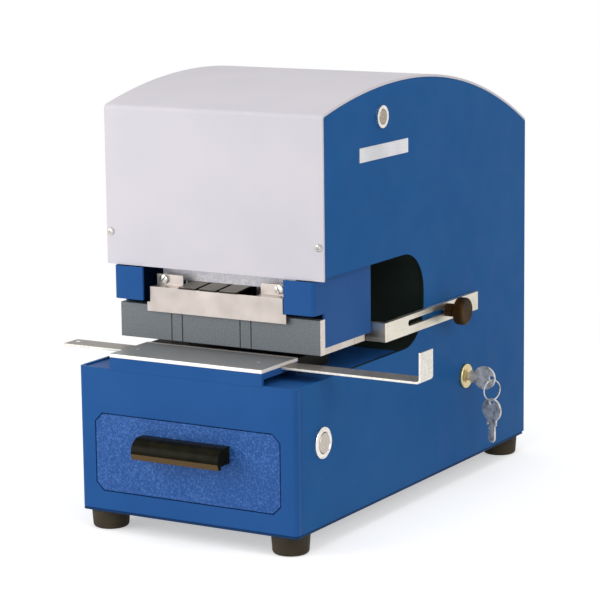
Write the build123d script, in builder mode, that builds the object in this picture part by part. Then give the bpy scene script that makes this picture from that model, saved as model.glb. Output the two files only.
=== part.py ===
from build123d import *
import os
from math import cos, radians, sin, sqrt, tan

# A desk machine that perforates paper with needle blocks. Millimetres. X runs to the
# operator's right, Y to the rear and Z up. The origin is on the floor, under the
# centre of the base.

# ---------------------------------------------------------------- case, driving sizes
case_width = 200.0
case_depth = 400.0
base_height = 117.0        # side panel, from the case's bottom to the throat's floor
head_underside = 195.0     # these heights are above the case's bottom as well
arch_front = 320.0
arch_apex = 338.4
arch_rear = 283.0
head_setback = 44.0        # the head's front, behind the base's front
apex_setback = 140.0       # the arch's highest point, behind the head's front
throat_depth = 164.0       # from the head's front to the throat's rear edge
throat_radius = 34.0
panel_t = 3.0
sheet_t = 1.5
bottom_t = 2.0
cover_t = 2.0
cover_bend = 4.0           # the outside of the bend between the cover's front and top
cover_overhang = 2.3       # the front cover reaches this far below the head
edge_lip = 1.0             # the side panels stand this far above the base's deck
flange = 12.0              # width of the panels' inner screw flanges
corner_radius = 4.0
corner_return = 8.0        # the base's front wraps round its corners this far
gap = 0.3                  # between pieces that only stand beside each other
running = 0.05             # radial clearance of shafts, columns and plugs

# ---------------------------------------------------------------- feet
foot_height = 16.0
foot_radius = 15.5
foot_inset_x = 16.0
foot_inset_y = 17.0

# ---------------------------------------------------------------- table, bed and die
table_width = 140.0
table_length = 54.5
table_t = 3.0
riser_height = 10.5
strip_width = 20.0
strip_t = 1.8
strip_left = 136.0         # reach of the side gauge to the left of the middle
strip_right = 191.0
strip_upright = 24.0
strip_centre = 39.5        # behind the table's front edge
die_length = 47.0
bed_length = 80.0
die_below_table = 1.0      # so that a sheet pushed in meets no edge
bed_t = 26.5

# ---------------------------------------------------------------- punch unit
unit_x = -7.0              # the needle blocks stand a little left of the middle
punch_setback = 42.4       # punch line, behind the head's front
slot_gap = 4.5             # paper slot between die and stripper
stripper_t = 5.0
stripper_width = 185.0
stripper_length = 36.0
stripper_front_length = 10.8
stripper_rear_length = 16.7
front_plate_t = 7.1
front_plate_height = 28.0
shroud_t = 2.0
shroud_rear = 90.0         # behind the head's front
ear_width = 27.2
ear_height = 26.5
ear_projection = 2.5       # the ears stand this far in front of the head
cassette_count = 3
cassette_pitch = 19.0
cassette_width = 18.0
cassette_depth = 25.0
cassette_height = 29.0
needle_radius = 0.8
needle_pitch = 3.2
needle_columns = 3
needle_rows = 5
stroke = 9.0
needle_rest = 1.5          # needle points above the stripper's underside at rest
ram_width = 116.0
ram_length = 34.0
ram_t = 15.0
column_radius = 6.0
column_x = 48.0
selector_width = 16.3
selector_t = 1.5
selector_slope = 5.0       # degrees
selector_reach = 20.0      # length of the sloping tab
guard_width = 123.2
guard_foot_width = 129.0
guard_t = 1.2
guard_top = 176.5          # these heights are above the case's bottom
guard_step = 164.0
guard_foot = 156.3
guard_setback = 2.5        # behind the head's front
lug_setback = 12.0
lug_near, lug_far = 36.0, 61.0
lug_screw_x = 53.6
lug_screw_height = 181.5
lug_height = 185.5

# ---------------------------------------------------------------- drive
frame_t = 10.0
frame_x = 60.0             # inner faces of the two frame plates
shaft_radius = 10.0
shaft_above_head = 51.0    # shaft height above the head's underside
bearing_radius = 18.0
disc_radius = 18.0
disc_t = 16.0
yoke_play = 1.1
yoke_t = 18.0
drive_pulley_radius = 34.0
pulley_ratio = 3.0
pulley_x = 74.0
pulley_width = 12.0
belt_t = 2.5
motor_radius = 42.0
motor_behind_shaft = 238.6
motor_below_shaft = 27.0
motor_length = 100.0
gearbox_size = 76.0
gearbox_length = 28.0

# ---------------------------------------------------------------- drawer
drawer_width = 170.0
drawer_height = 62.3
drawer_low = 17.7          # above the case's bottom
drawer_corner = 6.5
drawer_gap = 0.7
tray_margin = 5.0          # the tray is narrower than the drawer front by this on each side
tray_length = 160.0
tray_height = 51.0
tray_t = 1.2
tray_lift = 4.3            # the tray's floor, above the drawer front's lower edge
handle_width = 80.0
handle_height = 16.2
handle_reach = 17.5
handle_t = 3.0
hood_radius = 11.0
lip_height = 4.5
lip_slant = 1.5            # the lip's lower edge lies this far behind its upper edge
handle_top = 49.1          # above the drawer front's lower edge
handle_end = 13.6          # the closed ends reach this far down from the hood's top
handle_screw_x = 28.0

# ---------------------------------------------------------------- depth stop and knob
stop_height = 15.5
stop_t = 4.0
stop_low = 130.0           # above the case's bottom
stop_corner = 1.0
stop_left = 90.0
arm_length = 164.0
arm_slot_height = 5.0
arm_slot_start = 38.0      # from the arm's front end
arm_slot_margin = 15.0     # from the slot to the arm's rear end
knob_setback = 107.0       # the clamp knob, behind the arm's front end
stud_radius = 2.0
knob_hub_radius = 5.5
knob_hub_length = 10.0
knob_radius = 11.5
knob_t = 8.0

# ---------------------------------------------------------------- controls on the right
start_y, start_z = -161.0, 68.0
start_bezel_radius, start_cap_radius, start_travel = 12.5, 8.0, 2.5
reset_y, reset_z = -64.0, 310.6
reset_bezel_radius, reset_cap_radius, reset_travel = 9.0, 6.0, 1.5
bezel_t = 2.4
barrel_length = 12.0
plate_y, plate_z = -60.0, 283.4
plate_length, plate_height, plate_t = 80.0, 11.4, 1.0
lock_y, lock_z = 82.3, 74.7
lock_radius, lock_face_t, lock_length = 10.5, 3.0, 23.0
plug_radius = 6.0
key_t = 2.0
key_blade_height = 7.0
key_bow_radius = 10.0
key_bow_out = 19.0         # bow centre, in front of the panel
key_hole_out = 26.0
key_hole_radius = 2.4
ring_radius = 8.7
ring_wire = 0.6
ring_turn = 65.0           # degrees, the ring's plane from the XZ plane
spare_turn = -15.0
spare_length = 45.0

# ---------------------------------------------------------------- rear side
rear_inset = 3.5
vent_length, vent_height, vent_pitch = 60.0, 4.0, 11.0
vent_rows = 6
inlet_x, inlet_z = -55.0, 40.0
inlet_width, inlet_height, inlet_depth = 27.0, 20.0, 22.0
screw_radius = 1.5
screw_head_radius = 2.8
screw_head_t = 1.8

# ---------------------------------------------------------------- derived places
half_width = case_width / 2
inner_x = half_width - panel_t
case_bottom = foot_height
case_front = -case_depth / 2
case_rear = case_depth / 2
panel_low = case_bottom + bottom_t
base_z = case_bottom + base_height
head_z = case_bottom + head_underside
head_y = case_front + head_setback
panel_head_y = head_y + cover_t
panel_drop = cover_t + gap
throat_y = head_y + throat_depth
apex_y = head_y + apex_setback
apex_z = case_bottom + arch_apex
deck_z = base_z - edge_lip
liner_joint = throat_y - throat_radius - 4.0
shroud_rear_y = head_y + shroud_rear
table_z = deck_z + riser_height + table_t
die_z = table_z - die_below_table
bed_z = deck_z - sheet_t
die_front = case_front + table_length + 0.5
punch_y = head_y + punch_setback
strip_y = case_front + strip_centre
strip_z = table_z - table_t - 0.2 - strip_t
stripper_z = die_z + slot_gap
front_bar_y = punch_y - stripper_length / 2 - stripper_front_length
front_plate_y = front_bar_y - front_plate_t
stripper_top = stripper_z + stripper_t
cassette_z = stripper_top + stroke + 2.0
cassette_top = cassette_z + cassette_height
selector_z = cassette_top + 0.25
ram_z = selector_z + selector_t + 0.25
ram_top = ram_z + ram_t
ram_front = punch_y - ram_length / 2
guide_z = head_z + 3.0
guide_t = 12.0
shaft_z = head_z + shaft_above_head
eccentricity = stroke / 2
motor_y = punch_y + motor_behind_shaft
motor_z = shaft_z - motor_below_shaft
motor_pulley_radius = drive_pulley_radius / pulley_ratio
drawer_z = case_bottom + drawer_low
drawer_mid = drawer_z + drawer_height / 2
tray_z = drawer_z + tray_lift
tray_width = drawer_width - 2 * tray_margin
stop_z = case_bottom + stop_low
stop_y = shroud_rear_y + 0.6
arm_x = half_width + 0.5
arm_slot_end = arm_length - arm_slot_margin
stud_y = stop_y + knob_setback
stud_z = stop_z + 9.0
rear_y = case_rear - rear_inset
cassette_xs = [unit_x + (i - 1) * cassette_pitch for i in range(cassette_count)]


# ---------------------------------------------------------------- shared outlines
def arch_height(y):
    """Height of the head's top edge at y: two arcs that meet level at the apex."""
    if y < apex_y:
        run, rise = apex_setback, arch_apex - arch_front
    else:
        run, rise = case_rear - apex_y, arch_apex - arch_rear
    radius = (run**2 + rise**2) / (2 * rise)
    return apex_z - radius + sqrt(radius**2 - (y - apex_y) ** 2)


def under_arch(front, rear, low, drop):
    """The side view's area below the arch, lowered by drop, and above low."""
    apex = (apex_y, apex_z - drop)
    front_end = (front, arch_height(front) - drop)
    rear_end = (rear, arch_height(rear) - drop)
    with BuildSketch(Plane.YZ) as area:
        with BuildLine():
            TangentArc(apex, rear_end, tangent=(1, 0))
            TangentArc(apex, front_end, tangent=(-1, 0))
            Polyline(front_end, (front, low), (rear, low), rear_end)
        make_face()
    return area.sketch


def side_view(x):
    """The C-shaped outline of a side panel on the plane at x, just under the cover's top."""
    front = case_front + corner_return
    apex = (apex_y, apex_z - panel_drop)
    head_end = (panel_head_y, arch_height(panel_head_y) - panel_drop)
    rear_end = (case_rear, arch_height(case_rear) - panel_drop)
    with BuildSketch(Plane.YZ.offset(x)) as view:
        with BuildLine():
            Polyline((front, panel_low), (case_rear, panel_low), rear_end)
            TangentArc(apex, rear_end, tangent=(1, 0))
            TangentArc(apex, head_end, tangent=(-1, 0))
            Line(head_end, (panel_head_y, head_z))
            FilletPolyline(
                (panel_head_y, head_z),
                (throat_y, head_z),
                (throat_y, base_z),
                (front, base_z),
                radius=throat_radius,
            )
            Line((front, base_z), (front, panel_low))
        make_face()
    return view.sketch


def block(x, y, z, mode=Mode.ADD):
    """A box in the open part, between the limits given for each axis."""
    middle = [(low + high) / 2 for low, high in (x, y, z)]
    with Locations(tuple(middle)):
        return Box(*[abs(high - low) for low, high in (x, y, z)], mode=mode)


def rod(radius, start, end, mode=Mode.ADD):
    """A round bar in the open part, from one point to another."""
    along = Vector(*end) - Vector(*start)
    with Locations(Plane(origin=start, z_dir=along)):
        return Cylinder(
            radius, along.length, align=(Align.CENTER, Align.CENTER, Align.MIN), mode=mode
        )


def screw(head_radius, head_t, shank_radius, length):
    """A pan-head screw whose head stands on the XY plane and whose shank hangs below."""
    upright = (Align.CENTER, Align.CENTER, Align.MIN)
    with BuildPart() as piece:
        Cylinder(head_radius, head_t, align=upright)
        fillet(piece.edges().group_by(Axis.Z)[-1], head_t * 0.45)
        Cylinder(shank_radius, length, align=(Align.CENTER, Align.CENTER, Align.MAX))
    return piece.part


# ---------------------------------------------------------------- side panels
def side_panel(side):
    """One side panel with its head and rear flanges; side is 1 at the right, -1 at the left."""
    inner, flange_end = side * inner_x, side * (inner_x - flange)
    with BuildPart() as panel:
        extrude(side_view(inner), amount=side * panel_t)
        fillet(
            panel.edges()
            .filter_by(Axis.X)
            .filter_by_position(Axis.Y, panel_head_y - 0.01, panel_head_y + 0.01)
            .group_by(Axis.Z)[-1],
            cover_bend - 1,
        )
        block(
            (flange_end, inner),
            (panel_head_y, panel_head_y + panel_t),
            (head_z + 3, arch_height(panel_head_y) - panel_drop - cover_bend),
        )
        block(
            (flange_end, inner),
            (rear_y - sheet_t - panel_t, rear_y - sheet_t),
            (panel_low, arch_height(rear_y) - panel_drop - 2),
        )
        rod(
            screw_radius + 0.1,
            (side * (half_width - 4), panel_head_y - 1, head_z + 24),
            (side * (half_width - 4), panel_head_y + 9, head_z + 24),
            mode=Mode.SUBTRACT,
        )
        for z in rear_screw_zs:
            rod(
                screw_radius + 0.1,
                (side * (inner_x - 6), rear_y - 12, z),
                (side * (inner_x - 6), rear_y, z),
                mode=Mode.SUBTRACT,
            )
    return panel.part


rear_screw_zs = [panel_low + 12, base_z, arch_height(case_rear) - 28]

with BuildPart() as left_side_panel:
    add(side_panel(-1))
left_side_panel.part.label = "left_side_panel"
export_step(left_side_panel.part, "parts/left_side_panel.step")

start_z_mid = case_bottom + start_z
reset_z_mid = case_bottom + reset_z
lock_z_mid = case_bottom + lock_z
with BuildPart() as right_side_panel:
    add(side_panel(1))
    for radius, y, z in (
        (start_bezel_radius - 1.5, start_y, start_z_mid),
        (reset_bezel_radius - 1.2, reset_y, reset_z_mid),
        (lock_radius - 1.5, lock_y, lock_z_mid),
        (stud_radius, stud_y, stud_z),
    ):
        rod(radius + 0.1, (inner_x - 1, y, z), (half_width + 1, y, z), mode=Mode.SUBTRACT)
right_side_panel.part.label = "right_side_panel"
export_step(right_side_panel.part, "parts/right_side_panel.step")

# ---------------------------------------------------------------- front and top cover
cover_low = head_z - cover_overhang
with BuildPart() as front_cover:
    extrude(under_arch(head_y, case_rear, cover_low, 0), amount=half_width, both=True)
    extrude(
        under_arch(panel_head_y, case_rear + 1, cover_low - 1, cover_t),
        amount=half_width + 1,
        both=True,
        mode=Mode.SUBTRACT,
    )
    for y, radius in ((head_y, cover_bend), (panel_head_y, cover_bend - cover_t)):
        fillet(
            front_cover.edges()
            .filter_by(Axis.X)
            .filter_by_position(Axis.Y, y - 0.01, y + 0.01)
            .group_by(Axis.Z)[-1],
            radius,
        )
    for side in (-1, 1):
        rod(
            screw_radius + 0.1,
            (side * (half_width - 4), head_y - 1, head_z + 24),
            (side * (half_width - 4), head_y + cover_t + 1, head_z + 24),
            mode=Mode.SUBTRACT,
        )
front_cover.part.label = "front_cover"
export_step(front_cover.part, "parts/front_cover.step")

# ---------------------------------------------------------------- rear panel
rear_top = arch_height(rear_y) - panel_drop
vent_z = rear_top - 62
inlet_mid = case_bottom + inlet_z
with BuildPart() as rear_panel:
    block((-inner_x + gap, inner_x - gap), (rear_y - sheet_t, rear_y), (panel_low, rear_top))
    with BuildSketch(Plane.XZ.offset(-rear_y - 1)):
        with Locations((0, vent_z)):
            with GridLocations(2 * vent_length / 1.6, vent_pitch, 2, vent_rows):
                SlotOverall(vent_length, vent_height)
        with Locations((40, inlet_mid)):
            with GridLocations(1, vent_pitch, 1, 3):
                SlotOverall(vent_length, vent_height)
        with Locations((inlet_x, inlet_mid)):
            Rectangle(inlet_width + 4.4, inlet_height + 4.4)
    extrude(amount=sheet_t + 2, mode=Mode.SUBTRACT)
    for side in (-1, 1):
        for z in rear_screw_zs:
            rod(
                screw_radius + 0.1,
                (side * (inner_x - 6), rear_y - 5, z),
                (side * (inner_x - 6), rear_y + 1, z),
                mode=Mode.SUBTRACT,
            )
rear_panel.part.label = "rear_panel"
export_step(rear_panel.part, "parts/rear_panel.step")

small_screw = screw(screw_head_radius, screw_head_t, screw_radius, 6.0)
with BuildPart() as case_screws:
    for side in (-1, 1):
        with Locations(
            Plane(origin=(side * (half_width - 4), head_y, head_z + 24), z_dir=(0, -1, 0))
        ):
            add(small_screw)
        for z in rear_screw_zs:
            with Locations(Plane(origin=(side * (inner_x - 6), rear_y, z), z_dir=(0, 1, 0))):
                add(small_screw)
case_screws.part.label = "case_screws"
export_step(case_screws.part, "parts/case_screws.step")

# ---------------------------------------------------------------- base
foot_grid = GridLocations(case_width - 2 * foot_inset_x, case_depth - 2 * foot_inset_y, 2, 2)
with BuildPart() as bottom_plate:
    with BuildSketch(Plane.XY.offset(case_bottom)):
        RectangleRounded(case_width, case_depth, corner_radius)
    extrude(amount=bottom_t)
    chamfer(bottom_plate.edges().group_by(Axis.Z)[-1], 0.6)
    with Locations((0, 0, case_bottom)):
        with foot_grid:
            Hole(2.1)
bottom_plate.part.label = "bottom_plate"
export_step(bottom_plate.part, "parts/bottom_plate.step")


def drawer_outline(plane, grow):
    """The drawer front's outline with its cut corners, grown by a margin."""
    with BuildSketch(plane) as outline:
        with Locations((0, drawer_mid)):
            Rectangle(drawer_width + 2 * grow, drawer_height + 2 * grow)
        chamfer(outline.vertices(), drawer_corner + 0.6 * grow)
    return outline.sketch


front_plane = Plane.XZ.offset(-case_front)
with BuildPart() as base_front_panel:
    with BuildSketch(Plane.XY.offset(panel_low)) as wrap:
        with Locations((0, case_front)):
            Rectangle(case_width, corner_return, align=(Align.CENTER, Align.MIN))
        fillet(wrap.vertices().group_by(Axis.Y)[0], corner_radius)
        with Locations((0, case_front + panel_t)):
            Rectangle(2 * inner_x, corner_return, align=(Align.CENTER, Align.MIN), mode=Mode.SUBTRACT)
    extrude(amount=base_z - panel_low)
    extrude(drawer_outline(front_plane, drawer_gap), amount=-panel_t, mode=Mode.SUBTRACT)
    block(
        (-table_width / 2, table_width / 2),
        (case_front - 1, case_front + panel_t),
        (deck_z, base_z + 1),
        mode=Mode.SUBTRACT,
    )
base_front_panel.part.label = "base_front_panel"
export_step(base_front_panel.part, "parts/base_front_panel.step")

deck_half = inner_x - gap
with BuildPart() as base_deck:
    block((-deck_half, deck_half), (case_front + panel_t, liner_joint), (bed_z, deck_z))
    block(
        (-table_width / 2 - gap, table_width / 2 + gap),
        (die_front - gap, die_front + die_length + gap),
        (bed_z - 1, deck_z + 1),
        mode=Mode.SUBTRACT,
    )
base_deck.part.label = "base_deck"
export_step(base_deck.part, "parts/base_deck.step")

# the lining of the throat: one sheet, bent round behind the edges of the side panels
with BuildPart() as throat_liner:
    with BuildSketch(Plane.YZ):
        with BuildLine():
            mid = edge_lip + sheet_t / 2
            FilletPolyline(
                (shroud_rear_y, head_z + mid),
                (throat_y + mid, head_z + mid),
                (throat_y + mid, base_z - mid),
                (liner_joint, base_z - mid),
                radius=throat_radius + mid,
            )
        trace(line_width=sheet_t)
    extrude(amount=deck_half, both=True)
throat_liner.part.label = "throat_liner"
export_step(throat_liner.part, "parts/throat_liner.step")

# ---------------------------------------------------------------- feet
foot_recess_radius, foot_recess_depth = 5.5, 8.0
foot_toe = foot_radius - 1.0
with BuildPart() as one_foot:
    with BuildSketch(Plane.XZ):
        with BuildLine():
            ThreePointArc((foot_toe, 2.5), (foot_toe - 0.8, 0.8), (foot_toe - 2.5, 0))
            Polyline(
                (foot_toe - 2.5, 0),
                (foot_recess_radius, 0),
                (foot_recess_radius, foot_recess_depth),
                (2.3, foot_recess_depth),
                (2.3, foot_height),
                (foot_radius, foot_height),
                (foot_toe, 2.5),
            )
        make_face()
    revolve(axis=Axis.Z)

with BuildPart() as rubber_feet:
    with foot_grid:
        add(one_foot.part)
rubber_feet.part.label = "rubber_feet"
export_step(rubber_feet.part, "parts/rubber_feet.step")

foot_screw = screw(4.0, 2.6, 2.0, foot_height - foot_recess_depth + bottom_t)
with BuildPart() as foot_screws:
    for place in foot_grid.locations:
        with Locations(
            Plane(origin=place.position + Vector(0, 0, foot_recess_depth), z_dir=(0, 0, -1))
        ):
            add(foot_screw)
foot_screws.part.label = "foot_screws"
export_step(foot_screws.part, "parts/foot_screws.step")

# ---------------------------------------------------------------- table
riser_rear = case_front + table_length
riser_wall = 3.0
strip_low, strip_high = strip_y - strip_width / 2, strip_y + strip_width / 2
with BuildPart() as table_riser:
    with BuildSketch(Plane.YZ):
        with BuildLine():
            Polyline(
                (case_front, deck_z),
                (case_front, table_z - table_t),
                (strip_low - gap, table_z - table_t),
                (strip_low - gap, strip_z - 0.2),
                (strip_high + gap, strip_z - 0.2),
                (strip_high + gap, table_z - table_t),
                (riser_rear, table_z - table_t),
                (riser_rear, deck_z),
                (riser_rear - riser_wall, deck_z),
                (riser_rear - riser_wall, strip_z - riser_wall),
                (case_front + riser_wall, strip_z - riser_wall),
                (case_front + riser_wall, deck_z),
                close=True,
            )
        make_face()
    extrude(amount=table_width / 2, both=True)
table_riser.part.label = "table_riser"
export_step(table_riser.part, "parts/table_riser.step")

table_screw_places = [
    (-60, -strip_width / 2 - 4.4),
    (52, -strip_width / 2 - 4.4),
    (-3, strip_width / 2 + 2.4),
]
with BuildPart() as table_plate:
    block(
        (-table_width / 2, table_width / 2),
        (case_front, riser_rear),
        (table_z - table_t, table_z),
    )
    chamfer(table_plate.edges().group_by(Axis.Z)[-1], 0.6)
    for x, y in table_screw_places:
        with Locations((x, strip_y + y, table_z)):
            CounterSinkHole(0.8, 1.6)
table_plate.part.label = "table_plate"
export_step(table_plate.part, "parts/table_plate.step")

with BuildPart() as table_screws:
    for x, y in table_screw_places:
        with Locations((x, strip_y + y, table_z - 0.9)):
            Cone(0.7, 1.5, 0.8, align=(Align.CENTER, Align.CENTER, Align.MIN))
            Cylinder(0.7, 1.0, align=(Align.CENTER, Align.CENTER, Align.MAX))
table_screws.part.label = "table_screws"
export_step(table_screws.part, "parts/table_screws.step")

# ---------------------------------------------------------------- needles' shared pattern
needle_grid = (needle_pitch, needle_pitch, needle_columns, needle_rows)


def needle_pattern(radius, z):
    """A circle for every needle of every block, on the plane at z."""
    with BuildSketch(Plane.XY.offset(z)) as pattern:
        for x in cassette_xs:
            with Locations((x, punch_y)):
                with GridLocations(*needle_grid):
                    Circle(radius)
    return pattern.sketch


# ---------------------------------------------------------------- die and bed
chute_length = needle_rows * needle_pitch + 8
chute_half = cassette_count * cassette_pitch / 2 + 2
with BuildPart() as die_plate:
    block(
        (-table_width / 2, table_width / 2),
        (die_front, die_front + die_length),
        (bed_z, die_z),
    )
    chamfer(die_plate.edges().filter_by(Axis.X).group_by(Axis.Z)[-1], 0.8)
    extrude(needle_pattern(needle_radius + 0.1, die_z), amount=-4, mode=Mode.SUBTRACT)
    block(
        (unit_x - chute_half, unit_x + chute_half),
        (punch_y - chute_length / 2, punch_y + chute_length / 2),
        (bed_z - 1, die_z - 4),
        mode=Mode.SUBTRACT,
    )
die_plate.part.label = "die_plate"
export_step(die_plate.part, "parts/die_plate.step")

bed_front = die_front - 5
bed_rear = bed_front + bed_length
with BuildPart() as bed_block:
    block((-frame_x, frame_x), (bed_front, bed_rear), (bed_z - bed_t, bed_z))
    fillet(bed_block.edges().filter_by(Axis.Z), 2)
    block(
        (unit_x - chute_half, unit_x + chute_half),
        (punch_y - chute_length / 2, punch_y + chute_length / 2),
        (bed_z - bed_t - 1, bed_z + 1),
        mode=Mode.SUBTRACT,
    )
bed_block.part.label = "bed_block"
export_step(bed_block.part, "parts/bed_block.step")

# ---------------------------------------------------------------- frame plates
arm_low = guide_z
column_front, column_rear = throat_y + 4, throat_y + 62
foot_front = bed_rear + 40
frame_front = bed_front - 2


def frame_plate(side):
    """A C-shaped frame plate that carries the bed, the guide plate and a shaft bearing."""
    with BuildPart() as plate:
        with BuildSketch(Plane.YZ.offset(side * frame_x)):
            with BuildLine():
                FilletPolyline(
                    (frame_front, bed_z - bed_t),
                    (foot_front, bed_z - bed_t),
                    (foot_front, panel_low),
                    (column_rear, panel_low),
                    (column_rear, shaft_z + 38),
                    (throat_y, shaft_z + 54),
                    (punch_y - 12, shaft_z + 54),
                    (frame_front, shaft_z + 26),
                    (frame_front, arm_low),
                    (column_front, arm_low),
                    (column_front, bed_z),
                    (frame_front, bed_z),
                    radius=[6, 12, 2, 2, 20, 30, 14, 14, 6, 26, 26, 6],
                    close=True,
                )
            make_face()
            with Locations((punch_y, shaft_z)):
                Circle(bearing_radius, mode=Mode.SUBTRACT)
        extrude(amount=side * frame_t)
    return plate.part


with BuildPart() as left_frame_plate:
    add(frame_plate(-1))
left_frame_plate.part.label = "left_frame_plate"
export_step(left_frame_plate.part, "parts/left_frame_plate.step")

with BuildPart() as right_frame_plate:
    add(frame_plate(1))
right_frame_plate.part.label = "right_frame_plate"
export_step(right_frame_plate.part, "parts/right_frame_plate.step")

with BuildPart() as shaft_bearings:
    for side in (-1, 1):
        ends = [(side * (frame_x + t), punch_y, shaft_z) for t in (0, frame_t)]
        rod(bearing_radius, *ends)
        rod(shaft_radius + running, *ends, mode=Mode.SUBTRACT)
shaft_bearings.part.label = "shaft_bearings"
export_step(shaft_bearings.part, "parts/shaft_bearings.step")

yoke_half = disc_radius + eccentricity + 9.5
with BuildPart() as guide_plate:
    block((-frame_x, frame_x), (bed_front, punch_y + 38), (guide_z, guide_z + guide_t))
    block(
        (-yoke_t / 2 - 3, yoke_t / 2 + 3),
        (punch_y - yoke_half - 3, punch_y + yoke_half + 3),
        (guide_z - 1, guide_z + guide_t + 1),
        mode=Mode.SUBTRACT,
    )
    for x in (-column_x, column_x):
        ends = [(x, punch_y, z) for z in (guide_z - 1, guide_z + guide_t + 1)]
        rod(column_radius + 0.02, *ends, mode=Mode.SUBTRACT)
guide_plate.part.label = "guide_plate"
export_step(guide_plate.part, "parts/guide_plate.step")

with BuildPart() as guide_columns:
    for x in (-column_x, column_x):
        rod(column_radius, (x, punch_y, stripper_top), (x, punch_y, guide_z + guide_t))
guide_columns.part.label = "guide_columns"
export_step(guide_columns.part, "parts/guide_columns.step")

# ---------------------------------------------------------------- stripper and shroud
stripper_half = stripper_width / 2
needle_bar_y = (punch_y - stripper_length / 2, punch_y + stripper_length / 2)
with BuildPart() as stripper_needle_plate:
    block((-stripper_half, stripper_half), needle_bar_y, (stripper_z, stripper_top))
    extrude(
        needle_pattern(needle_radius + 0.3, stripper_top), amount=-stripper_t, mode=Mode.SUBTRACT
    )
stripper_needle_plate.part.label = "stripper_needle_plate"
export_step(stripper_needle_plate.part, "parts/stripper_needle_plate.step")

with BuildPart() as stripper_bars:
    block(
        (-stripper_half, stripper_half),
        (front_bar_y, needle_bar_y[0] - gap),
        (stripper_z, stripper_top),
    )
    block(
        (-stripper_half, stripper_half),
        (needle_bar_y[1] + gap, needle_bar_y[1] + stripper_rear_length),
        (stripper_z, stripper_top),
    )
stripper_bars.part.label = "stripper_bars"
export_step(stripper_bars.part, "parts/stripper_bars.step")

inset_width = 10.0
inset_spacing = 64.0
groove = 0.9
with BuildPart() as stripper_front_plate:
    block(
        (-stripper_half - 0.5, stripper_half + 0.5),
        (front_plate_y, front_bar_y),
        (stripper_z, stripper_z + front_plate_height),
    )
    chamfer(stripper_front_plate.edges().group_by(Axis.Y)[0], 0.5)
    for middle in (unit_x - inset_spacing / 2, unit_x + inset_spacing / 2):
        for edge in (middle - inset_width / 2, middle + inset_width / 2):
            block(
                (edge - groove / 2, edge + groove / 2),
                (front_plate_y - 1, front_plate_y + 1.0),
                (stripper_z - 1, stripper_z + front_plate_height + 1),
                mode=Mode.SUBTRACT,
            )
stripper_front_plate.part.label = "stripper_front_plate"
export_step(stripper_front_plate.part, "parts/stripper_front_plate.step")

# the shroud: one sheet round the punch unit, with two ears at the front
shroud_half = stripper_half - shroud_t / 2
ear_y = head_y - ear_projection + shroud_t / 2
ear_x = stripper_half - ear_width
ear_low = head_z - cover_overhang - 0.7 - ear_height
with BuildPart() as punch_shroud:
    with BuildSketch(Plane.XY.offset(stripper_top)):
        with BuildLine():
            FilletPolyline(
                (ear_x, ear_y),
                (shroud_half, ear_y),
                (shroud_half, shroud_rear_y - shroud_t / 2),
                (-shroud_half, shroud_rear_y - shroud_t / 2),
                (-shroud_half, ear_y),
                (-ear_x, ear_y),
                radius=2.5,
            )
        trace(line_width=shroud_t)
    extrude(amount=head_z - stripper_top)
    block(
        (-half_width, half_width),
        (head_y - 10, front_bar_y + 0.2),
        (stripper_z, ear_low),
        mode=Mode.SUBTRACT,
    )
    block(
        (-half_width, half_width),
        (head_y - 10, panel_head_y + 0.2),
        (ear_low + ear_height, head_z + 1),
        mode=Mode.SUBTRACT,
    )
    for side in (-1, 1):
        block(
            (side * (stripper_half - shroud_t), side * (inner_x - gap)),
            (panel_head_y + 0.2, shroud_rear_y - 0.1),
            (head_z, head_z + sheet_t),
        )
punch_shroud.part.label = "punch_shroud"
export_step(punch_shroud.part, "parts/punch_shroud.step")

# ---------------------------------------------------------------- motor
with BuildPart() as motor_shelf:
    with BuildSketch(Plane.XZ.offset(-(column_rear + 4))):
        with BuildLine():
            shelf_half = inner_x - 1.5
            shelf_z = motor_z - motor_radius - 9
            FilletPolyline(
                (-shelf_half, shelf_z - 28),
                (-shelf_half, shelf_z - 1.5),
                (shelf_half, shelf_z - 1.5),
                (shelf_half, shelf_z - 28),
                radius=3,
            )
        trace(line_width=3)
    extrude(amount=-(rear_y - sheet_t - panel_t - 2 - column_rear - 4))
motor_shelf.part.label = "motor_shelf"
export_step(motor_shelf.part, "parts/motor_shelf.step")

gearbox_x = pulley_x - 8
with BuildPart() as gearmotor:
    rod(motor_radius, (gearbox_x - gearbox_length, motor_y, motor_z),
        (gearbox_x - gearbox_length - motor_length, motor_y, motor_z))
    with BuildSketch(Plane.YZ.offset(gearbox_x)):
        with Locations((motor_y, motor_z)):
            RectangleRounded(gearbox_size, gearbox_size, 8)
    extrude(amount=-gearbox_length)
    fillet(gearmotor.edges().group_by(Axis.X)[0], 5)
    for x in (gearbox_x - gearbox_length - 20, gearbox_x - gearbox_length - motor_length + 20):
        block((x - 6, x + 6), (motor_y - 30, motor_y + 30), (shelf_z, motor_z - motor_radius * 0.65))
    rod(6.5, (gearbox_x + 0.01, motor_y, motor_z), (gearbox_x - 20, motor_y, motor_z), mode=Mode.SUBTRACT)
gearmotor.part.label = "gearmotor"
export_step(gearmotor.part, "parts/gearmotor.step")


def pulley(radius, centre):
    """A flanged belt pulley on an axis along X, from pulley_x to the right."""
    y, z = centre
    with BuildPart() as wheel:
        rod(radius, (pulley_x, y, z), (pulley_x + pulley_width, y, z))
        for x in (pulley_x, pulley_x + pulley_width - 1.2):
            rod(radius + 1.6, (x, y, z), (x + 1.2, y, z))
    return wheel.part


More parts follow.
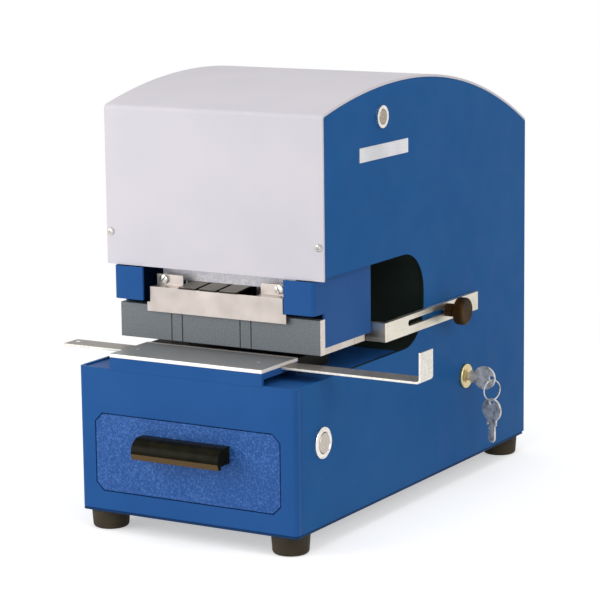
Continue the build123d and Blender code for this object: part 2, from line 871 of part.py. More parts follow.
belt_room = 0.3
with BuildPart() as drive_belt:
    with BuildSketch(Plane.YZ.offset(pulley_x + 1.2 + belt_room)) as loop:
        for grow, mode in ((belt_t + belt_room, Mode.ADD), (belt_room, Mode.SUBTRACT)):
            with BuildSketch(mode=Mode.PRIVATE) as hull:
                with Locations((punch_y, shaft_z)):
                    Circle(drive_pulley_radius + grow)
                with Locations((motor_y, motor_z)):
                    Circle(motor_pulley_radius + grow)
                make_hull()
            add(hull.sketch, mode=mode)
    extrude(amount=pulley_width - 2.4 - 2 * belt_room)
drive_belt.part.label = "drive_belt"
export_step(drive_belt.part, "parts/drive_belt.step")

# ---------------------------------------------------------------- rear inlet
with BuildPart() as power_inlet:
    block(
        (inlet_x - inlet_width / 2 - 2, inlet_x + inlet_width / 2 + 2),
        (rear_y - inlet_depth, rear_y),
        (inlet_mid - inlet_height / 2 - 2, inlet_mid + inlet_height / 2 + 2),
    )
    with BuildSketch(Plane.XZ.offset(-rear_y)):
        with Locations((inlet_x, inlet_mid)):
            SlotOverall(inlet_width + 24, inlet_height + 8)
    extrude(amount=-2.5)
    with BuildSketch(Plane.XZ.offset(-rear_y - 3)):
        with Locations((inlet_x, inlet_mid)):
            socket = Rectangle(inlet_width - 3, inlet_height - 4)
        chamfer(socket.vertices().group_by(Axis.Y)[-1], 4.5)
    extrude(amount=18, mode=Mode.SUBTRACT)
    for dx, dz in ((-7, -1), (0, 3), (7, -1)):
        block(
            (inlet_x + dx - 1, inlet_x + dx + 1),
            (rear_y - 16, rear_y - 5),
            (inlet_mid + dz - 2, inlet_mid + dz + 2),
        )
power_inlet.part.label = "power_inlet"
export_step(power_inlet.part, "parts/power_inlet.step")

# ---------------------------------------------------------------- nameplate
with BuildPart() as nameplate:
    with BuildSketch(Plane.YZ.offset(half_width)):
        with Locations((plate_y, case_bottom + plate_z)):
            RectangleRounded(plate_length, plate_height, 1.0)
    extrude(amount=plate_t)
    chamfer(nameplate.edges().group_by(Axis.X)[-1], 0.4)
nameplate.part.label = "nameplate"
export_step(nameplate.part, "parts/nameplate.step")

# ---------------------------------------------------------------- buttons
buttons = (
    (start_y, start_z_mid, start_bezel_radius, start_cap_radius, start_travel),
    (reset_y, reset_z_mid, reset_bezel_radius, reset_cap_radius, reset_travel),
)
cap_room = 0.25
with BuildPart() as button_bodies:
    for y, z, bezel_radius, cap_radius, travel in buttons:
        barrel = bezel_radius - (1.5 if bezel_radius > 10 else 1.2)
        rod(bezel_radius, (half_width, y, z), (half_width + bezel_t, y, z))
        chamfer(button_bodies.faces().sort_by(Axis.X)[-1].edges(), 0.8)
        rod(barrel, (half_width, y, z), (half_width - barrel_length, y, z))
        rod(
            cap_radius + cap_room,
            (half_width + bezel_t + 1, y, z),
            (half_width - barrel_length + 2, y, z),
            mode=Mode.SUBTRACT,
        )
button_bodies.part.label = "button_bodies"
export_step(button_bodies.part, "parts/button_bodies.step")


def button_cap(y, z, radius, travel):
    """A button's cap, with its full travel free behind it."""
    with BuildPart() as cap:
        rod(
            radius,
            (half_width - barrel_length + 2 + travel + 0.3, y, z),
            (half_width + bezel_t + 0.4, y, z),
        )
        fillet(cap.edges().group_by(Axis.X)[-1], 0.8)
    return cap.part


with BuildPart() as start_button_cap:
    add(button_cap(start_y, start_z_mid, start_cap_radius, start_travel))
start_button_cap.part.label = "start_button_cap"
export_step(start_button_cap.part, "parts/start_button_cap.step")

with BuildPart() as reset_button_cap:
    add(button_cap(reset_y, reset_z_mid, reset_cap_radius, reset_travel))
reset_button_cap.part.label = "reset_button_cap"
export_step(reset_button_cap.part, "parts/reset_button_cap.step")

# ---------------------------------------------------------------- key switch
lock_front = half_width + lock_face_t
lock_back = half_width - lock_length
with BuildPart() as lock_body:
    rod(lock_radius, (half_width, lock_y, lock_z_mid), (lock_front, lock_y, lock_z_mid))
    fillet(lock_body.edges().group_by(Axis.X)[-1], 1.2)
    rod(lock_radius - 1.5, (half_width, lock_y, lock_z_mid), (lock_back, lock_y, lock_z_mid))
    rod(
        plug_radius + running,
        (lock_back + 3, lock_y, lock_z_mid),
        (lock_front + 1, lock_y, lock_z_mid),
        mode=Mode.SUBTRACT,
    )
lock_body.part.label = "lock_body"
export_step(lock_body.part, "parts/lock_body.step")

slot_room = 0.15
with BuildPart() as lock_plug:
    rod(plug_radius, (lock_back + 3.3, lock_y, lock_z_mid), (lock_front + 0.4, lock_y, lock_z_mid))
    block(
        (lock_back + 9, lock_front + 1),
        (lock_y - key_t / 2 - slot_room, lock_y + key_t / 2 + slot_room),
        (
            lock_z_mid - key_blade_height / 2 - slot_room,
            lock_z_mid + key_blade_height / 2 + slot_room,
        ),
        mode=Mode.SUBTRACT,
    )
lock_plug.part.label = "lock_plug"
export_step(lock_plug.part, "parts/lock_plug.step")


def key_shape(bow_centre, tip, blade, hole):
    """A key on the local XY plane: round bow, shoulder, bitted blade and ring hole."""
    with BuildSketch() as outline:
        with Locations((bow_centre, 0)):
            Circle(key_bow_radius)
        shoulder = bow_centre - key_bow_radius
        with Locations(((tip + bow_centre) / 2, 0)):
            Rectangle(bow_centre - tip, blade)
        chamfer(outline.vertices().group_by(Axis.X)[0], blade * 0.3)
        with Locations((shoulder - 1, 0)):
            Rectangle(5, blade + 3)
        for i in range(5):
            with Locations((tip + 4 + 3 * i, -blade / 2)):
                Circle(0.6 + 0.25 * (i % 3), mode=Mode.SUBTRACT)
        with Locations((hole, 0)):
            Circle(key_hole_radius, mode=Mode.SUBTRACT)
    with BuildPart() as shape:
        extrude(outline.sketch, amount=key_t / 2, both=True)
    return shape.part


key_plane = Plane(
    origin=(half_width, lock_y, lock_z_mid), x_dir=(1, 0, 0), z_dir=(0, -1, 0)
)
with BuildPart() as key:
    with Locations(key_plane):
        add(key_shape(key_bow_out, -lock_length + 10, key_blade_height, key_hole_out))
key.part.label = "key"
export_step(key.part, "parts/key.step")

# the split ring hangs in the key's hole, and the spare key hangs in the ring
hole_x = half_width + key_hole_out
ring_top = lock_z_mid - key_hole_radius + ring_wire + 0.4
ring_z = ring_top - ring_radius
with BuildPart() as key_ring:
    turn = radians(ring_turn)
    with Locations(Plane(origin=(hole_x, lock_y, ring_z), z_dir=(-sin(turn), cos(turn), 0))):
        Torus(ring_radius, ring_wire)
key_ring.part.label = "key_ring"
export_step(key_ring.part, "parts/key_ring.step")

ring_low = ring_z - ring_radius
spare_hole_z = ring_low - key_hole_radius + ring_wire + 0.4
spare_bow = key_bow_radius - (key_hole_out - key_bow_out)
with BuildPart() as spare_key:
    turn = radians(spare_turn)
    hanging = Plane(
        origin=(hole_x, lock_y, spare_hole_z),
        x_dir=(0, 0, 1),
        z_dir=(-sin(turn), cos(turn), 0),
    )
    with Locations(hanging):
        add(
            key_shape(
                -(key_hole_out - key_bow_out),
                spare_bow + key_hole_out - key_bow_out - spare_length,
                key_blade_height,
                0,
            )
        )
spare_key.part.label = "spare_key"
export_step(spare_key.part, "parts/spare_key.step")

# ---------------------------------------------------------------- drawer
with BuildPart() as drawer_front:
    extrude(drawer_outline(front_plane, 0), amount=-panel_t)
    chamfer(drawer_front.edges().group_by(Axis.Y)[0], 0.5)
    for x in (-handle_screw_x, handle_screw_x):
        rod(
            2.1,
            (x, case_front - 1, drawer_z + handle_top - 8),
            (x, case_front + 5, drawer_z + handle_top - 8),
            mode=Mode.SUBTRACT,
        )
drawer_front.part.label = "drawer_front"
export_step(drawer_front.part, "parts/drawer_front.step")

tray_front = case_front + panel_t
with BuildPart() as drawer_tray:
    block(
        (-tray_width / 2, tray_width / 2),
        (tray_front, tray_front + tray_length),
        (tray_z, tray_z + tray_height),
    )
    fillet(drawer_tray.edges().filter_by(Axis.Z).group_by(Axis.Y)[-1], 5)
    offset(amount=-tray_t, openings=drawer_tray.faces().sort_by(Axis.Z)[-1])
    for x in (-handle_screw_x, handle_screw_x):
        rod(
            5.0,
            (x, tray_front - 1, drawer_z + handle_top - 8),
            (x, tray_front + 3, drawer_z + handle_top - 8),
            mode=Mode.SUBTRACT,
        )
drawer_tray.part.label = "drawer_tray"
export_step(drawer_tray.part, "parts/drawer_tray.step")

# the pull handle: an arched hood with a lip that slants inwards, closed at both ends
hood_top = drawer_z + handle_top
hood_front = case_front - handle_reach
hood_low = hood_top - handle_height


def hood_profile(inset, rear, low):
    """The hood's side view, inset from its outside, back to rear and down to low."""
    front = hood_front + inset
    with BuildSketch(Plane.YZ) as hood:
        with BuildLine():
            Polyline(
                (front, hood_top - inset),
                (rear, hood_top - inset),
                (rear, low),
                (front + lip_slant, low),
                (front, hood_low + lip_height),
                close=True,
            )
        make_face()
        front_top = hood.vertices().group_by(Axis.Y)[-1].sort_by(Axis.X)[0]
        fillet(front_top, hood_radius - inset)
    return hood.sketch


with BuildPart() as drawer_handle:
    extrude(hood_profile(0, case_front, hood_low), amount=handle_width / 2, both=True)
    extrude(
        hood_profile(handle_t, case_front + 1, hood_low - 1),
        amount=handle_width / 2 - handle_t,
        both=True,
        mode=Mode.SUBTRACT,
    )
    block(
        (-handle_width, handle_width),
        (hood_front + 5, case_front + 1),
        (hood_low - 5, hood_top - handle_end),
        mode=Mode.SUBTRACT,
    )
    for x in (-handle_screw_x, handle_screw_x):
        rod(4.0, (x, case_front, hood_top - 8), (x, hood_front + 4, hood_top - 8))
        rod(
            2.1,
            (x, case_front + 1, hood_top - 8),
            (x, hood_front + 6, hood_top - 8),
            mode=Mode.SUBTRACT,
        )
drawer_handle.part.label = "drawer_handle"
export_step(drawer_handle.part, "parts/drawer_handle.step")

handle_screw = screw(4.0, 2.5, 2.0, 12.0)
with BuildPart() as handle_screws:
    for x in (-handle_screw_x, handle_screw_x):
        with Locations(Plane(origin=(x, tray_front, hood_top - 8), z_dir=(0, 1, 0))):
            add(handle_screw)
handle_screws.part.label = "handle_screws"
export_step(handle_screws.part, "parts/handle_screws.step")

rail_x = tray_width / 2 + 2
with BuildPart() as drawer_rails:
    for side in (-1, 1):
        with BuildSketch(Plane.XZ.offset(-tray_front - 2)):
            with BuildLine():
                Polyline(
                    (side * (rail_x - 13), panel_low + 0.75),
                    (side * rail_x, panel_low + 0.75),
                    (side * rail_x, tray_z - 0.3 - 0.75),
                    (side * (rail_x - 13), tray_z - 0.3 - 0.75),
                )
            trace(line_width=1.5)
        extrude(amount=-tray_length + 6)
drawer_rails.part.label = "drawer_rails"
export_step(drawer_rails.part, "parts/drawer_rails.step")

# ---------------------------------------------------------------- depth stop
with BuildPart() as depth_stop_bar:
    for x, length in ((-stop_left, stop_t), (arm_x, arm_length)):
        block(
            (x, arm_x + stop_t),
            (stop_y, stop_y + length),
            (stop_z, stop_z + stop_height),
        )
    outer_corner = (
        depth_stop_bar.edges()
        .filter_by(Axis.Z)
        .filter_by_position(Axis.Y, stop_y - 0.01, stop_y + 0.01)
        .sort_by(Axis.X)[-1]
    )
    fillet(outer_corner, stop_corner)
    slot_middle = stop_y + (arm_slot_start + arm_slot_end) / 2
    with BuildSketch(Plane.YZ.offset(arm_x - 1)):
        with Locations((slot_middle, stud_z)):
            SlotOverall(arm_slot_end - arm_slot_start, arm_slot_height)
    extrude(amount=stop_t + 2, mode=Mode.SUBTRACT)
depth_stop_bar.part.label = "depth_stop_bar"
export_step(depth_stop_bar.part, "parts/depth_stop_bar.step")

arm_face = arm_x + stop_t
with BuildPart() as clamp_stud:
    rod(
        stud_radius,
        (inner_x - 5, stud_y, stud_z),
        (arm_face + knob_hub_length + 2, stud_y, stud_z),
    )
    with BuildSketch(Plane.YZ.offset(inner_x)):
        with Locations((stud_y, stud_z)):
            RegularPolygon(4.2, 6)
    extrude(amount=-3.2)
clamp_stud.part.label = "clamp_stud"
export_step(clamp_stud.part, "parts/clamp_stud.step")

knob_back = arm_face + 0.4
disc_back = knob_back + knob_hub_length
with BuildPart() as clamp_knob:
    rod(knob_hub_radius, (knob_back, stud_y, stud_z), (disc_back, stud_y, stud_z))
    rod(knob_radius, (disc_back, stud_y, stud_z), (disc_back + knob_t, stud_y, stud_z))
    fillet(clamp_knob.faces().filter_by(Axis.X).sort_by(Axis.X)[-1].edges(), 2)
    largest = clamp_knob.edges().filter_by(GeomType.CIRCLE).group_by(SortBy.RADIUS)[-1]
    fillet(largest.sort_by(Axis.X)[0], 1)
    rod(
        stud_radius + 0.3,
        (knob_back - 1, stud_y, stud_z),
        (disc_back + 3, stud_y, stud_z),
        mode=Mode.SUBTRACT,
    )
clamp_knob.part.label = "clamp_knob"
export_step(clamp_knob.part, "parts/clamp_knob.step")

# ---------------------------------------------------------------- side gauge
with BuildPart() as side_gauge_strip:
    with BuildSketch(Plane.XZ.offset(-strip_low)):
        with BuildLine():
            FilletPolyline(
                (-strip_left, strip_z + strip_t / 2),
                (strip_right - strip_t / 2, strip_z + strip_t / 2),
                (strip_right - strip_t / 2, strip_z + strip_upright),
                radius=3,
            )
        trace(line_width=strip_t)
    extrude(amount=-strip_width)
    fillet(
        side_gauge_strip.edges().filter_by(Axis.Z).group_by(Axis.X)[0],
        2,
    )
    rod(
        2.0,
        (-strip_left + 6, strip_y + 2, strip_z - 1),
        (-strip_left + 6, strip_y + 2, strip_z + strip_t + 1),
        mode=Mode.SUBTRACT,
    )
side_gauge_strip.part.label = "side_gauge_strip"
export_step(side_gauge_strip.part, "parts/side_gauge_strip.step")

# ---------------------------------------------------------------- eccentric drive
disc_z = shaft_z + eccentricity
with BuildPart() as eccentric_shaft:
    rod(
        shaft_radius,
        (-frame_x - frame_t - 3, punch_y, shaft_z),
        (pulley_x + pulley_width + 3, punch_y, shaft_z),
    )
    rod(disc_radius, (-disc_t / 2, punch_y, disc_z), (disc_t / 2, punch_y, disc_z))
    for side in (-1, 1):
        rod(
            shaft_radius + 4,
            (side * (frame_x - 6), punch_y, shaft_z),
            (side * (frame_x - gap), punch_y, shaft_z),
        )
    chamfer(eccentric_shaft.edges().group_by(Axis.X)[0], 1)
    chamfer(eccentric_shaft.edges().group_by(Axis.X)[-1], 1)
eccentric_shaft.part.label = "eccentric_shaft"
export_step(eccentric_shaft.part, "parts/eccentric_shaft.step")

with BuildPart() as drive_pulley:
    add(pulley(drive_pulley_radius, (punch_y, shaft_z)))
    for x in (pulley_x - 1, pulley_x + pulley_width - 3):
        rod(
            drive_pulley_radius - 5,
            (x, punch_y, shaft_z),
            (x + 4, punch_y, shaft_z),
            mode=Mode.SUBTRACT,
        )
    rod(
        shaft_radius + 7,
        (pulley_x, punch_y, shaft_z),
        (pulley_x + pulley_width, punch_y, shaft_z),
    )
    rod(
        shaft_radius,
        (pulley_x - 1, punch_y, shaft_z),
        (pulley_x + pulley_width + 1, punch_y, shaft_z),
        mode=Mode.SUBTRACT,
    )
drive_pulley.part.label = "drive_pulley"
export_step(drive_pulley.part, "parts/drive_pulley.step")

with BuildPart() as motor_pulley:
    add(pulley(motor_pulley_radius, (motor_y, motor_z)))
    rod(6.0, (gearbox_x - 18, motor_y, motor_z), (pulley_x + 1, motor_y, motor_z))
motor_pulley.part.label = "motor_pulley"
export_step(motor_pulley.part, "parts/motor_pulley.step")

# ---------------------------------------------------------------- ram
window_half = disc_radius + eccentricity + 1
window_low, window_high = disc_z - disc_radius - yoke_play, disc_z + disc_radius + yoke_play
pin_radius = 2.5
pin_y, pin_z = punch_y + 8.5, cassette_top - 9
cheek_t = 3.0
block_half = cassette_width / 2
cheek_xs = (cassette_xs[0] - block_half - gap, cassette_xs[-1] + block_half + gap)
cassette_y = (punch_y - cassette_depth / 2, punch_y + cassette_depth / 2)
with BuildPart() as ram_block:
    block((-ram_width / 2, ram_width / 2), (ram_front, ram_front + ram_length), (ram_z, ram_top))
    fillet(ram_block.edges().filter_by(Axis.Z), 3)
    for edge, outward in zip(cheek_xs, (-1, 1)):
        block((edge, edge + outward * cheek_t), cassette_y, (cassette_z + 6, ram_z))
        ends = [(edge - 5, pin_y, pin_z), (edge + 5, pin_y, pin_z)]
        rod(pin_radius + 0.02, *ends, mode=Mode.SUBTRACT)
    for x in (-column_x, column_x):
        rod(
            column_radius + running,
            (x, punch_y, ram_z - 1),
            (x, punch_y, ram_top + 1),
            mode=Mode.SUBTRACT,
        )
ram_block.part.label = "ram_block"
export_step(ram_block.part, "parts/ram_block.step")

with BuildPart() as ram_yoke:
    block(
        (-yoke_t / 2, yoke_t / 2),
        (punch_y - yoke_half, punch_y + yoke_half),
        (ram_top, window_high + 9),
    )
    fillet(ram_yoke.edges().filter_by(Axis.X).group_by(Axis.Z)[-1], 10)
    block(
        (-yoke_t, yoke_t),
        (punch_y - window_half, punch_y + window_half),
        (window_low, window_high),
        mode=Mode.SUBTRACT,
    )
    fillet(
        ram_yoke.edges().filter_by(Axis.X).filter_by_position(
            Axis.Y, punch_y - window_half - 0.1, punch_y + window_half + 0.1
        ).filter_by_position(Axis.Z, window_low - 0.1, window_high + 0.1),
        2,
    )
ram_yoke.part.label = "ram_yoke"
export_step(ram_yoke.part, "parts/ram_yoke.step")

backing_t = 3.0
backing_y = ram_front - backing_t
lug_y = head_y + lug_setback
lug_screw_z = case_bottom + lug_screw_height
with BuildPart() as ram_front_plate:
    block(
        (-guard_width / 2, guard_width / 2),
        (backing_y, ram_front),
        (ram_z, ram_top - 1),
    )
    for x in (-lug_screw_x, lug_screw_x):
        rod(4.5, (x, backing_y, lug_screw_z), (x, lug_y + guard_t, lug_screw_z))
        rod(1.6, (x, backing_y + 2, lug_screw_z), (x, lug_y, lug_screw_z), mode=Mode.SUBTRACT)
ram_front_plate.part.label = "ram_front_plate"
export_step(ram_front_plate.part, "parts/ram_front_plate.step")

# the stainless guard: a front sheet, two shelves over the stripper and two screwed lugs
guard_y = head_y + guard_setback
guard_high = case_bottom + guard_top
guard_step_z = case_bottom + guard_step
guard_low = case_bottom + guard_foot
lug_high = case_bottom + lug_height
with BuildPart() as guard_plate:
    block(
        (-guard_width / 2, guard_width / 2),
        (guard_y, guard_y + guard_t),
        (guard_step_z, guard_high),
    )
    block(
        (-guard_foot_width / 2, guard_foot_width / 2),
        (guard_y, guard_y + guard_t),
        (guard_low, guard_step_z),
    )
    for side in (-1, 1):
        near, far = side * lug_near, side * lug_far
        block((near, far), (guard_y, lug_y + guard_t), (guard_high - guard_t, guard_high))
        block((near, far), (lug_y, lug_y + guard_t), (guard_high - guard_t, lug_high))
        block(
            (far - side * guard_t, far),
            (guard_y, lug_y + guard_t),
            (guard_high - 5, guard_high),
        )
        ends = [(side * lug_screw_x, y, lug_screw_z) for y in (lug_y - 1, lug_y + guard_t + 1)]
        rod(1.7, *ends, mode=Mode.SUBTRACT)
guard_plate.part.label = "guard_plate"
export_step(guard_plate.part, "parts/guard_plate.step")

guard_screw = screw(3.75, 2.4, 1.5, 12.0)
with BuildPart() as guard_screws:
    for x in (-lug_screw_x, lug_screw_x):
        with Locations(Plane(origin=(x, lug_y, lug_screw_z), z_dir=(0, -1, 0))):
            add(guard_screw)
guard_screws.part.label = "guard_screws"
export_step(guard_screws.part, "parts/guard_screws.step")

# ---------------------------------------------------------------- needle blocks
needle_low = stripper_z + needle_rest
with BuildPart() as needle_cassettes:
    for x in cassette_xs:
        block((x - block_half, x + block_half), cassette_y, (cassette_z, cassette_top))
    chamfer(needle_cassettes.edges().filter_by(Axis.Y).group_by(Axis.Z)[0], 1)
    ends = [(cheek_xs[0] - 1, pin_y, pin_z), (cheek_xs[1] + 1, pin_y, pin_z)]
    rod(pin_radius + 0.02, *ends, mode=Mode.SUBTRACT)
    extrude(needle_pattern(needle_radius, cassette_z), amount=-(cassette_z - needle_low))
needle_cassettes.part.label = "needle_cassettes"
export_step(needle_cassettes.part, "parts/needle_cassettes.step")

with BuildPart() as cassette_pin:
    rod(
        pin_radius,
        (cheek_xs[0] - cheek_t - 1, pin_y, pin_z),
        (cheek_xs[1] + cheek_t + 1, pin_y, pin_z),
    )
    chamfer(cassette_pin.edges().filter_by(GeomType.CIRCLE), 0.5)
cassette_pin.part.label = "cassette_pin"
export_step(cassette_pin.part, "parts/cassette_pin.step")

# ---------------------------------------------------------------- selector slides
tab_rear = backing_y - 1.0
tab_drop = selector_reach * tan(radians(selector_slope))


def selector_slide(x):
    """A flat slide between ram and needle block, with its front end bent down as a tab."""
    with BuildPart() as slide:
        with BuildSketch(Plane.YZ.offset(x - selector_width / 2)):
            with BuildLine():
                Polyline(
                    (cassette_y[1] - 2, selector_z),
                    (tab_rear, selector_z),
                    (tab_rear - selector_reach, selector_z - tab_drop),
                    (tab_rear - selector_reach, selector_z - tab_drop + selector_t),
                    (tab_rear, selector_z + selector_t),
                    (cassette_y[1] - 2, selector_z + selector_t),
                    close=True,
                )
            make_face()
        extrude(amount=selector_width)
        fillet(slide.edges().filter_by(Axis.Z).group_by(Axis.Y)[0], 1)
    return slide.part


with BuildPart() as selector_slide_1:
    add(selector_slide(cassette_xs[0]))
selector_slide_1.part.label = "selector_slide_1"
export_step(selector_slide_1.part, "parts/selector_slide_1.step")

with BuildPart() as selector_slide_2:
    add(selector_slide(cassette_xs[1]))
selector_slide_2.part.label = "selector_slide_2"
export_step(selector_slide_2.part, "parts/selector_slide_2.step")

with BuildPart() as selector_slide_3:
    add(selector_slide(cassette_xs[2]))
selector_slide_3.part.label = "selector_slide_3"
export_step(selector_slide_3.part, "parts/selector_slide_3.step")
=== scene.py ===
from math import cos, pi, radians, sin

import bpy
import bmesh
from mathutils import Matrix, Vector


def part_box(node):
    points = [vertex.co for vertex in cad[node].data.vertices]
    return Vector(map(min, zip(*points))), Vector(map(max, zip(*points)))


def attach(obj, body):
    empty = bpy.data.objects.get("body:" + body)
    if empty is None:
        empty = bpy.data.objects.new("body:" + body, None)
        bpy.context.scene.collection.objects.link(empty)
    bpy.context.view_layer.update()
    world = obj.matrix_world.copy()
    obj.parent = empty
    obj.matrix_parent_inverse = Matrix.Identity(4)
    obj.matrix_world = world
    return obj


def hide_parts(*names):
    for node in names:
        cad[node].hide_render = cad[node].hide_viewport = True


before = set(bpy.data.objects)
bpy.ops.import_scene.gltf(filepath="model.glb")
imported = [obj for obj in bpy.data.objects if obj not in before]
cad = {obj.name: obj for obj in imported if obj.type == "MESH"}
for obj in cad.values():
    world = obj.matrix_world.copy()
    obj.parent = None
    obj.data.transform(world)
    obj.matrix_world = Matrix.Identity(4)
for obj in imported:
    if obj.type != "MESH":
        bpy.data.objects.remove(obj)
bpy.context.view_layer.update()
mm = 0.001


# ---------------------------------------------------------------- camera, lamps and backdrop
def photo_camera():
    """The camera of the photograph: a long lens, right of the machine and a little above it."""
    place = Vector((1.0466, -1.796, 0.540))
    azimuth, elevation, roll = radians(30.547), radians(10.32), radians(-0.672)
    right = Vector((cos(azimuth), sin(azimuth), 0))
    back = Vector((sin(azimuth) * cos(elevation), -cos(azimuth) * cos(elevation), sin(elevation)))
    up = back.cross(right)
    across = right * cos(roll) + up * sin(roll)
    upright = up * cos(roll) - right * sin(roll)
    camera = bpy.data.objects.new("photo_camera", bpy.data.cameras.new("photo_camera"))
    camera.data.sensor_width = 36
    camera.data.lens = 151.05
    camera.data.clip_end = 100
    turn = Matrix((across, upright, back)).transposed().to_4x4()
    camera.matrix_world = Matrix.Translation(place) @ turn
    bpy.context.scene.collection.objects.link(camera)
    bpy.context.scene.camera = camera


def softbox(name, place, target, size, watts):
    """A square area lamp at place that faces target."""
    lamp = bpy.data.lights.new(name, "AREA")
    lamp.shape = "SQUARE"
    lamp.size = size
    lamp.energy = watts
    holder = bpy.data.objects.new(name, lamp)
    holder.location = place
    holder.rotation_euler = (Vector(target) - Vector(place)).to_track_quat("-Z", "Y").to_euler()
    bpy.context.scene.collection.objects.link(holder)


# ---------------------------------------------------------------- material tools
def linear(hex_colour):
    """A colour written as sRGB hex, as linear values."""
    parts = [int(hex_colour[i:i + 2], 16) / 255 for i in (1, 3, 5)]
    return [c / 12.92 if c < 0.04045 else ((c + 0.055) / 1.055) ** 2.4 for c in parts] + [1.0]


def add(tree, kind, inputs=None, **settings):
    """Adds a node with its settings, and gives its inputs values or links."""
    made = tree.nodes.new(kind)
    for name, value in settings.items():
        setattr(made, name, value)
    for name, value in (inputs or {}).items():
        socket = made.inputs[name]
        if isinstance(value, bpy.types.NodeSocket):
            tree.links.new(value, socket)
        elif isinstance(value, str) and value.startswith("#"):
            socket.default_value = linear(value)
        else:
            socket.default_value = value
    return made


def new_material(name):
    """An empty material's tree, its output node and its Object coordinates."""
    material = bpy.data.materials.new(name)
    material.use_nodes = True
    tree = material.node_tree
    tree.nodes.clear()
    output = add(tree, "ShaderNodeOutputMaterial")
    place = add(tree, "ShaderNodeTexCoord").outputs["Object"]
    return material, tree, output, place


def grain(tree, place, size_mm, stretch=(1, 1, 1), detail=2.0):
    """Noise whose features are size_mm across, and longer by stretch along an axis."""
    fitted = add(
        tree,
        "ShaderNodeMapping",
        {"Vector": place, "Scale": [1 / s for s in stretch]},
    )
    noise = add(
        tree,
        "ShaderNodeTexNoise",
        {"Vector": fitted.outputs["Vector"], "Scale": 1000 / size_mm, "Detail": detail},
    )
    return noise.outputs["Fac"]


def between(tree, factor, low, high, dark, light):
    """Colour that goes from dark to light as factor goes from low to high."""
    ramp = add(tree, "ShaderNodeValToRGB", {"Fac": factor})
    ramp.color_ramp.elements[0].position = low
    ramp.color_ramp.elements[0].color = linear(dark)
    ramp.color_ramp.elements[1].position = high
    ramp.color_ramp.elements[1].color = linear(light)
    return ramp.outputs["Color"]


def level(tree, factor, low, high):
    """A number that goes from low to high with factor."""
    mapped = add(
        tree,
        "ShaderNodeMapRange",
        {"Value": factor, "From Min": 0.3, "From Max": 0.7, "To Min": low, "To Max": high},
    )
    return mapped.outputs["Result"]


def bumped(tree, height, depth_mm, strength=1.0):
    """A normal roughened by height, depth_mm deep."""
    return add(
        tree,
        "ShaderNodeBump",
        {"Height": height, "Distance": depth_mm * mm, "Strength": strength},
    ).outputs["Normal"]


def finish_with(tree, output, inputs):
    """Sends a principled shader with these inputs to the material's output."""
    shader = add(tree, "ShaderNodeBsdfPrincipled", inputs)
    tree.links.new(shader.outputs["BSDF"], output.inputs["Surface"])


def facing(tree, axis):
    """How far the surface faces along an axis: 1 straight along it, -1 away from it."""
    normal = add(tree, "ShaderNodeTexCoord").outputs["Normal"]
    parts = add(tree, "ShaderNodeSeparateXYZ", {"Vector": normal})
    return parts.outputs[axis]


# ---------------------------------------------------------------- materials
def powder_coat(name, dark, light, peel_mm=1.6, peel_depth_mm=0.02, roughness=0.45):
    """Polyester powder coat, sprayed on and baked: satin, with a faint orange peel."""
    material, tree, output, place = new_material(name)
    cloud = grain(tree, place, 70)
    peel = grain(tree, place, peel_mm, detail=1.0)
    finish_with(tree, output, {
        "Base Color": between(tree, cloud, 0.35, 0.65, dark, light),
        "Roughness": level(tree, grain(tree, place, 25), roughness - 0.04, roughness + 0.05),
        "Normal": bumped(tree, peel, peel_depth_mm),
        "Specular IOR Level": 0.08,
    })
    return material


def panel_coat_with_throat_shade(name, dark, light, shade_colour, low_mm, high_mm):
    """The panels' powder coat, with painted shade: the cut edges inside the throat are painted
    near-black, for the shade there.
    """
    material, tree, output, place = new_material(name)
    parts = add(tree, "ShaderNodeSeparateXYZ", {"Vector": place}).outputs
    # Mask for the painted shade: faces that don't face along X, inside the throat's box.
    turned = add(tree, "ShaderNodeMath", {0: facing(tree, "X")}, operation="ABSOLUTE").outputs[0]
    inside = add(tree, "ShaderNodeMath", {0: turned, 1: 0.5}, operation="LESS_THAN").outputs[0]
    for axis, low, high in zip("YZ", low_mm, high_mm):
        for limit, side in ((low, "GREATER_THAN"), (high, "LESS_THAN")):
            test = add(
                tree, "ShaderNodeMath", {0: parts[axis], 1: limit * mm}, operation=side
            ).outputs[0]
            inside = add(
                tree, "ShaderNodeMath", {0: inside, 1: test}, operation="MULTIPLY"
            ).outputs[0]
    coat = between(tree, grain(tree, place, 70), 0.35, 0.65, dark, light)
    colour = add(
        tree, "ShaderNodeMix", {"Factor": inside, "A": coat, "B": shade_colour}, data_type="RGBA"
    )
    finish_with(tree, output, {
        "Base Color": colour.outputs["Result"],
        "Roughness": level(tree, grain(tree, place, 25), 0.41, 0.5),
        "Normal": bumped(tree, grain(tree, place, 1.6, detail=1.0), 0.02),
        "Specular IOR Level": 0.06,
    })
    return material


def hammer_paint(name, dark, light):
    """Stoved hammer finish: paint that shrinks into small glossy worms, 1 to 2 mm across."""
    material, tree, output, place = new_material(name)
    worms = add(
        tree,
        "ShaderNodeTexNoise",
        {"Vector": place, "Scale": 1000 / 1.5, "Detail": 1.5, "Distortion": 0.8},
    ).outputs["Fac"]
    cloud = grain(tree, place, 45)
    shade = add(
        tree,
        "ShaderNodeMath",
        {0: worms, 1: level(tree, cloud, -0.05, 0.05)},
        operation="ADD",
    ).outputs[0]
    # The worms' texture is real; their lighter colour is partly painted highlight, glints painted
    # over the bump's own shading.
    finish_with(tree, output, {
        "Base Color": between(tree, shade, 0.46, 0.74, dark, light),
        "Roughness": level(tree, worms, 0.34, 0.44),
        "Normal": bumped(tree, worms, 0.6, 0.6),
        "Specular IOR Level": 0.2,
    })
    return material


